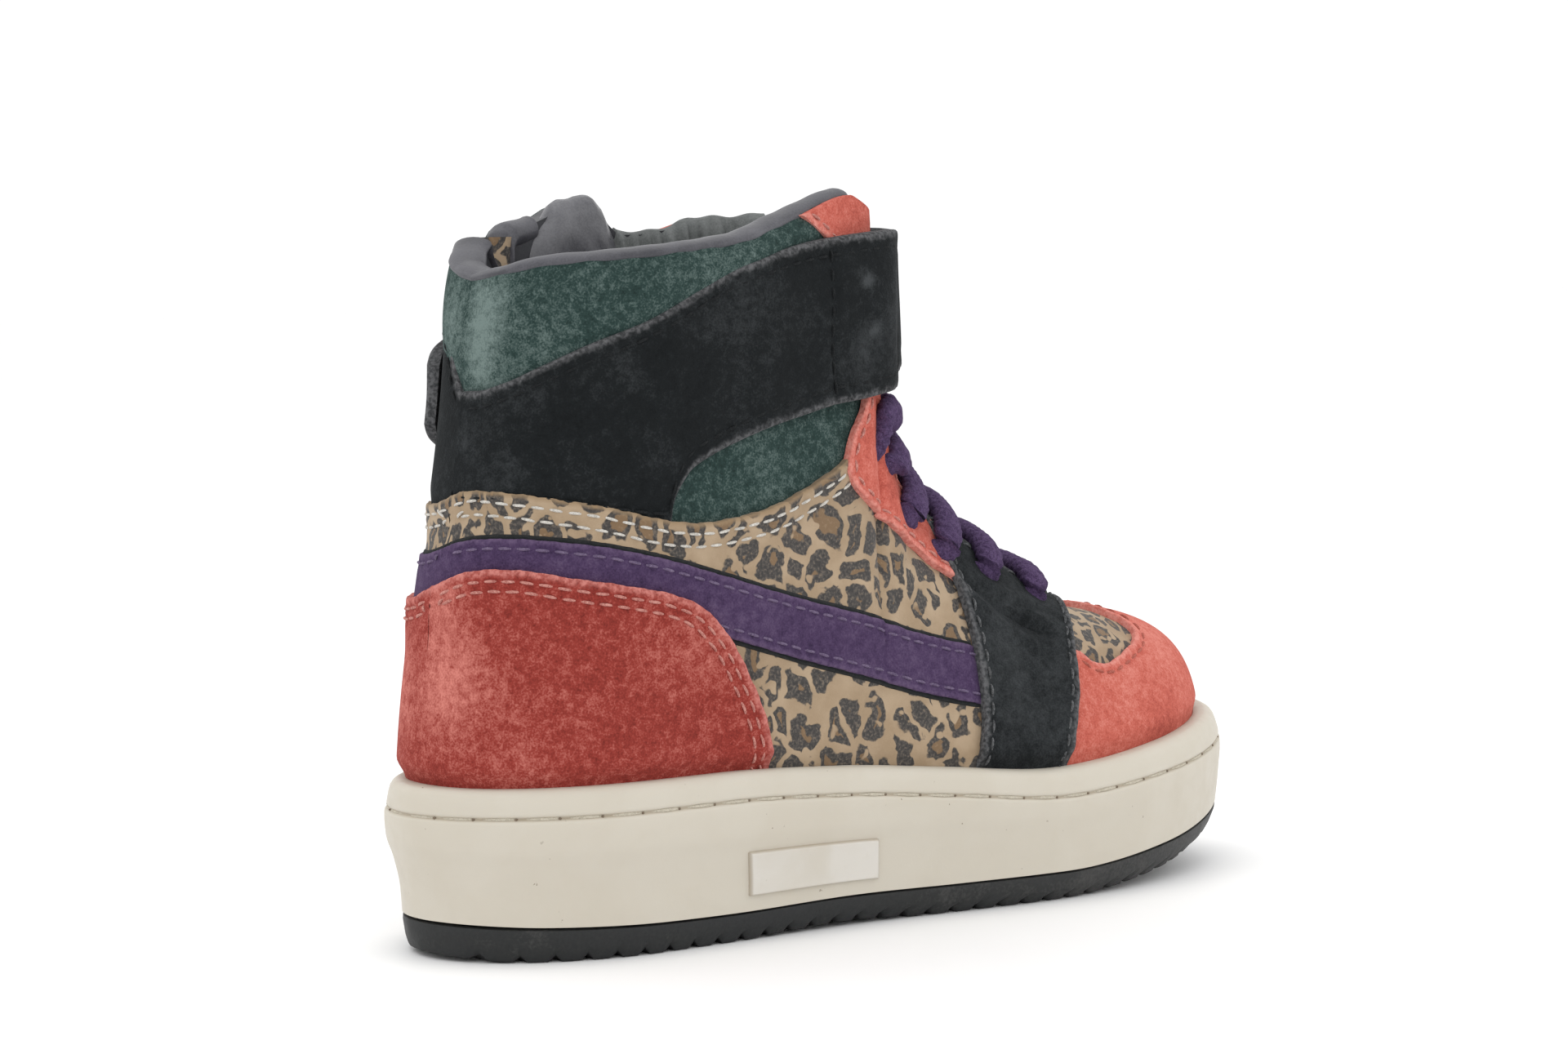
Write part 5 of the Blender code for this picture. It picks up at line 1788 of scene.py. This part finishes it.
def cup_ring(side, share, drop, below):
    """Points of the cup's side wall: drop below its upper edge, then below as a share of the rest."""
    x, _ = plan_point(side, share, 0.0, 0.0)
    top, joint = look_up(SOLE_HEIGHTS, "top", x), look_up(SOLE_HEIGHTS, "joint", x)
    z = top - drop - (top - drop - joint) * below
    level = (z - joint) / (top - joint)
    heel = look_up(CUP_WALL, "heel", level)
    toe = look_up(CUP_WALL, "toe", level)
    deep = top - z
    extra = GROOVE_DEPTH * bell(deep - GROOVE_DROP, GROOVE_WIDTH)
    extra = extra + rounded_by(deep, LIP_ROUND)
    lip = smooth_step(GROOVE_DROP + LIP_SET_REACH, GROOVE_DROP - LIP_SET_REACH, deep)
    extra = extra + LIP_SET_BACK * lip
    x, y = plan_point(side, share, heel + extra, toe + extra)
    return np.stack([x, y, z], -1), deep


def ring_of(outer, inner):
    return np.concatenate([outer, inner[::-1]])


def close_ends(rings):
    """Points and faces of a body between its first and last ring, whose ends are closed across the shoe."""
    count, around = rings.shape[:2]
    half = around // 2
    faces = grid_faces(count, around)
    for start in (0, (count - 1) * around):
        for k in range(half - 1):
            far = around - 1 - k
            faces.append((start + k, start + k + 1, start + far - 1, start + far))
    return rings.reshape(-1, 3), faces


def make_midsole():
    s = np.linspace(0.0, 1.0, SOLE_STATIONS)
    share = plan_share(s)
    rings, depths = [], []
    levels = [(drop, 0.0) for drop in UPPER_DROPS] + [(UPPER_DROPS[-1], below) for below in LOWER_SHARES]
    for drop, below in levels[::-1]:
        both = [cup_ring(side, share, np.full(share.shape, drop), below) for side in SIDES]
        rings.append(ring_of(both[0][0], both[1][0]))
        depths.append(np.abs(ring_of(both[0][1], both[1][1]) - GROOVE_DROP))
    for level in CUP_INSIDE:
        sides = []
        for side in SIDES:
            foot = on_last(side, s, np.zeros(s.shape))
            low = look_up(SOLE_HEIGHTS, "floor", foot[:, 0])
            high = look_up(SOLE_HEIGHTS, "top", foot[:, 0])
            z = low + (high - low) * level
            wall = off_last(side, s, height_share(side, s, z), np.full(s.shape, GAP))
            wall[:, 2] = z
            sides.append(wall)
        rings.append(ring_of(*sides))
        depths.append(np.full(2 * SOLE_STATIONS, RIM_DARKENING if level > 0.8 else FAR))
    points, faces = close_ends(np.array(rings))
    values = {"edge": np.concatenate(depths)}
    made = make_piece("cup_sole", points, faces, ["cup_rubber"], values)
    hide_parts("midsole")
    make_cup_stitches(share)
    make_side_plate()


CUP_STITCH, CUP_STITCH_GAP, CUP_STITCH_RADIUS = 6.3, 1.1, 0.3
CUP_HOLE, CUP_HOLE_RADIUS, CUP_HOLE_OUT = 0.6, 0.2, 0.1


def make_cup_stitches(share):
    """The long stitches that lie in the groove round the cup, and short dark marks painted as the shade in
    the holes they go into.
    """
    sewn, holes = [], []
    for side in SIDES:
        drop = np.full(share.shape, GROOVE_DROP)
        line, _ = cup_ring(side, share, drop, 0.0)
        ahead = np.gradient(line, axis=0)
        out = unit(np.stack([ahead[:, 1], -ahead[:, 0], np.zeros(len(line))], -1) * -side)
        sewn.append(stitches_along(line, out, CUP_STITCH, CUP_STITCH_GAP))
        between = CUP_STITCH + CUP_STITCH_GAP - CUP_HOLE
        holes.append(stitches_along(line + out * CUP_HOLE_OUT, out, CUP_HOLE, between))
    # Painted shade: the holes are short dark brown cords on the surface, with no hole cut.
    make_stitches("cup_stitch_hole_shade", np.concatenate(holes), "cup_hole_shade", CUP_HOLE_RADIUS)
    make_stitches("cup_stitches", np.concatenate(sewn), "cup_thread", CUP_STITCH_RADIUS)


# A bare raised plate on the outer side of the cup
PLATE_X, PLATE_BELOW = (52.0, 80.5), (0.565, 0.89)
PLATE_RISE, PLATE_ROUND, PLATE_SINK = 0.75, 0.5, 0.4
PLATE_HALF_LONG, PLATE_HALF_HIGH = 11.0, 4.8
PLATE_STEPS = (90, 44)


def cup_patch(xs, belows):
    """A patch of the cup's outer wall, by place along the sole and share below the upper edge."""
    points = []
    for below in belows:
        wall, _ = cup_ring(OUTER, share_of(xs), np.zeros(len(xs)), below)
        points.append(wall)
    points = np.array(points)
    out = unit(np.cross(np.gradient(points, axis=1), np.gradient(points, axis=0)))
    return points, out * np.sign(-out[..., 1:2])


def make_side_plate():
    xs = np.linspace(*PLATE_X, PLATE_STEPS[0])
    belows = np.linspace(*PLATE_BELOW, PLATE_STEPS[1])
    wall, out = cup_patch(xs, belows)
    u = np.linspace(-1.0, 1.0, PLATE_STEPS[0])[None, :]
    v = np.linspace(-1.0, 1.0, PLATE_STEPS[1])[:, None]
    from_edge = np.minimum((1.0 - np.abs(u)) * PLATE_HALF_LONG, (1.0 - np.abs(v)) * PLATE_HALF_HIGH)
    raised = PLATE_RISE * (1.0 - rounded_by(from_edge, PLATE_ROUND) / PLATE_ROUND)
    top = wall + out * raised[..., None]
    under = wall - out * PLATE_SINK
    points, faces = plate_between(top, under)
    # Painted shade: the plate is darker near its border, as a shadow outline round it.
    edge = np.tile(from_edge.ravel(), 2)
    make_piece("side_plate", points, faces, ["plate_rubber"], {"edge": edge})


TOOTH_SHARES = (
    0.0, 0.08, 0.30, TOOTH_CREST - 0.03, TOOTH_CREST + 0.03, TOOTH_VALLEY - 0.05, TOOTH_VALLEY, 0.9,
)
# Rings of the tread from its crests up: insets, level up to the joint and share of the teeth's depth
TREAD_RINGS = table(
    "heel toe level tooth",
    (TREAD_INSET.heel + 0.9, TREAD_INSET.toe + 0.9, 0.0, 1.0),
    (TREAD_INSET.heel + 0.25, TREAD_INSET.toe + 0.25, 0.03, 1.0),
    (TREAD_INSET.heel, TREAD_INSET.toe, 0.12, 0.9),
    (SHOULDER_INSET.heel + 0.15, SHOULDER_INSET.toe + 0.5, 0.34, 0.25),
    (SHOULDER_INSET.heel, SHOULDER_INSET.toe, 0.5, 0.0),
    (0.05, 0.15, 0.85, 0.0),
    (0.1, 0.1, 0.97, 0.0),
    (0.5, 0.5, 1.0, 0.0),
)


def make_outsole():
    """Dark tread with sloping teeth, seen as a saw edge along the side."""
    count = int(SOLE_LENGTH / TOOTH_PITCH)
    pitch = SOLE_LENGTH / count
    starts = np.arange(count) * pitch
    places = np.sort(np.concatenate([starts + q * pitch for q in TOOTH_SHARES]))
    places = np.append(places, SOLE_LENGTH)
    share = share_of(places)
    within = (places / pitch) % 1.0
    valley = np.interp(within, (0.0, TOOTH_CREST, TOOTH_VALLEY, 1.0), (0.0, 0.0, 1.0, 0.0))
    heel, toe = CUP_WALL[0].heel, CUP_WALL[0].toe

    rings = []
    for row in TREAD_RINGS:
        sides = []
        for side in SIDES:
            x, y = plan_point(side, share, heel + row.heel, toe + row.toe)
            tread = look_up(SOLE_HEIGHTS, "tread", x)
            joint = look_up(SOLE_HEIGHTS, "joint", x) - GAP
            z = tread + (joint - tread) * row.level + TOOTH_DEPTH * valley * row.tooth
            sides.append(np.stack([x, y, z], -1))
        rings.append(ring_of(*sides))
    points, faces = close_ends(np.array(rings))
    made = make_piece("tread", points, faces, ["outsole_rubber"])
    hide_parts("outsole")


# Studio
CAMERA_TURN, CAMERA_RISE, CAMERA_ROLL = math.radians(37.92), math.radians(4.09), math.radians(-0.97)
CAMERA_DISTANCE = 717.27
CAMERA_TARGET = (90.0, 0.0, 70.13)
CAMERA_SLIDE = -5.08
FOCAL_PIXELS, FRAME_PIXELS, SENSOR = 4773.1, 1920.0, 36.0


def make_camera():
    turn, rise = CAMERA_TURN, CAMERA_RISE
    back = np.array([-math.sin(turn) * math.cos(rise), -math.cos(turn) * math.cos(rise), math.sin(rise)])
    right = np.array([math.cos(turn), -math.sin(turn), 0.0])
    up = np.cross(back, right)
    place = np.array(CAMERA_TARGET) + right * CAMERA_SLIDE + back * CAMERA_DISTANCE
    rolled = right * math.cos(CAMERA_ROLL) + up * math.sin(CAMERA_ROLL)
    upright = np.cross(back, rolled)
    camera = bpy.data.cameras.new("camera")
    camera.sensor_width = SENSOR
    camera.lens = FOCAL_PIXELS * SENSOR / FRAME_PIXELS
    camera.clip_start = 0.01
    obj = bpy.data.objects.new("camera", camera)
    turned = Matrix(np.stack([rolled, upright, back], 1).tolist()).to_4x4()
    obj.matrix_world = Matrix.Translation(Vector((place - ORIGIN) * MM)) @ turned
    bpy.context.scene.collection.objects.link(obj)
    bpy.context.scene.camera = obj


Lamp = namedtuple("Lamp", "name place aim size power")
LAMPS = (
    Lamp("key", (-0.75, -0.85, 0.95), (0.0, 0.0, 0.06), 0.7, 2.0),
    Lamp("fill", (0.85, -0.75, 0.65), (0.0, 0.0, 0.06), 1.0, 1.6),
    Lamp("top", (0.0, 0.1, 1.3), (0.0, 0.0, 0.05), 1.2, 2.6),
    Lamp("back", (-0.5, 0.9, 0.7), (0.0, 0.0, 0.08), 0.8, 1.5),
)
WORLD_LIGHT = 1.06
FLOOR_REACH = 6.0
PAPER_SIZE, PAPER, PAPER_PALE = 40.0, (0.93, 0.93, 0.93), (0.96, 0.96, 0.96)


def make_studio():
    for lamp in LAMPS:
        light = bpy.data.lights.new(lamp.name, "AREA")
        light.size = lamp.size
        light.energy = lamp.power
        obj = bpy.data.objects.new(lamp.name, light)
        obj.location = lamp.place
        aim = Vector(lamp.aim) - Vector(lamp.place)
        obj.rotation_euler = aim.to_track_quat("-Z", "Y").to_euler()
        bpy.context.scene.collection.objects.link(obj)
    world = bpy.data.worlds.new("studio")
    world.use_nodes = True
    background = world.node_tree.nodes["Background"]
    background.inputs["Color"].default_value = (1.0, 1.0, 1.0, 1.0)
    background.inputs["Strength"].default_value = WORLD_LIGHT
    bpy.context.scene.world = world
    bpy.context.scene.view_settings.view_transform = "Standard"

    made, tree, shader = new_material("floor_paper")
    paper = noise(tree, spot(tree), PAPER_SIZE, 3.0)
    connect(tree, shader, {"Base Color": mix(tree, paper, PAPER, PAPER_PALE), "Roughness": 0.6})
    mesh = bpy.data.meshes.new("floor")
    corners = [(x * FLOOR_REACH, y * FLOOR_REACH, 0.0) for x, y in ((-1, -1), (1, -1), (1, 1), (-1, 1))]
    mesh.from_pydata(corners, [], [(0, 1, 2, 3)])
    mesh.materials.append(made)
    floor = bpy.data.objects.new("floor", mesh)
    bpy.context.scene.collection.objects.link(floor)


make_camera()
make_studio()
make_shell()
make_panels()
ANKLE_TABLES = {side: ankle_table(side) for side in SIDES}
make_strap()
for roll in ROLLS:
    make_roll(roll)
make_facing()
make_tongue()
make_laces()
make_midsole()
make_outsole()
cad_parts["insole"].data.materials.clear()
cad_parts["insole"].data.materials.append(FINISHES["footbed"])

bpy.context.view_layer.update()
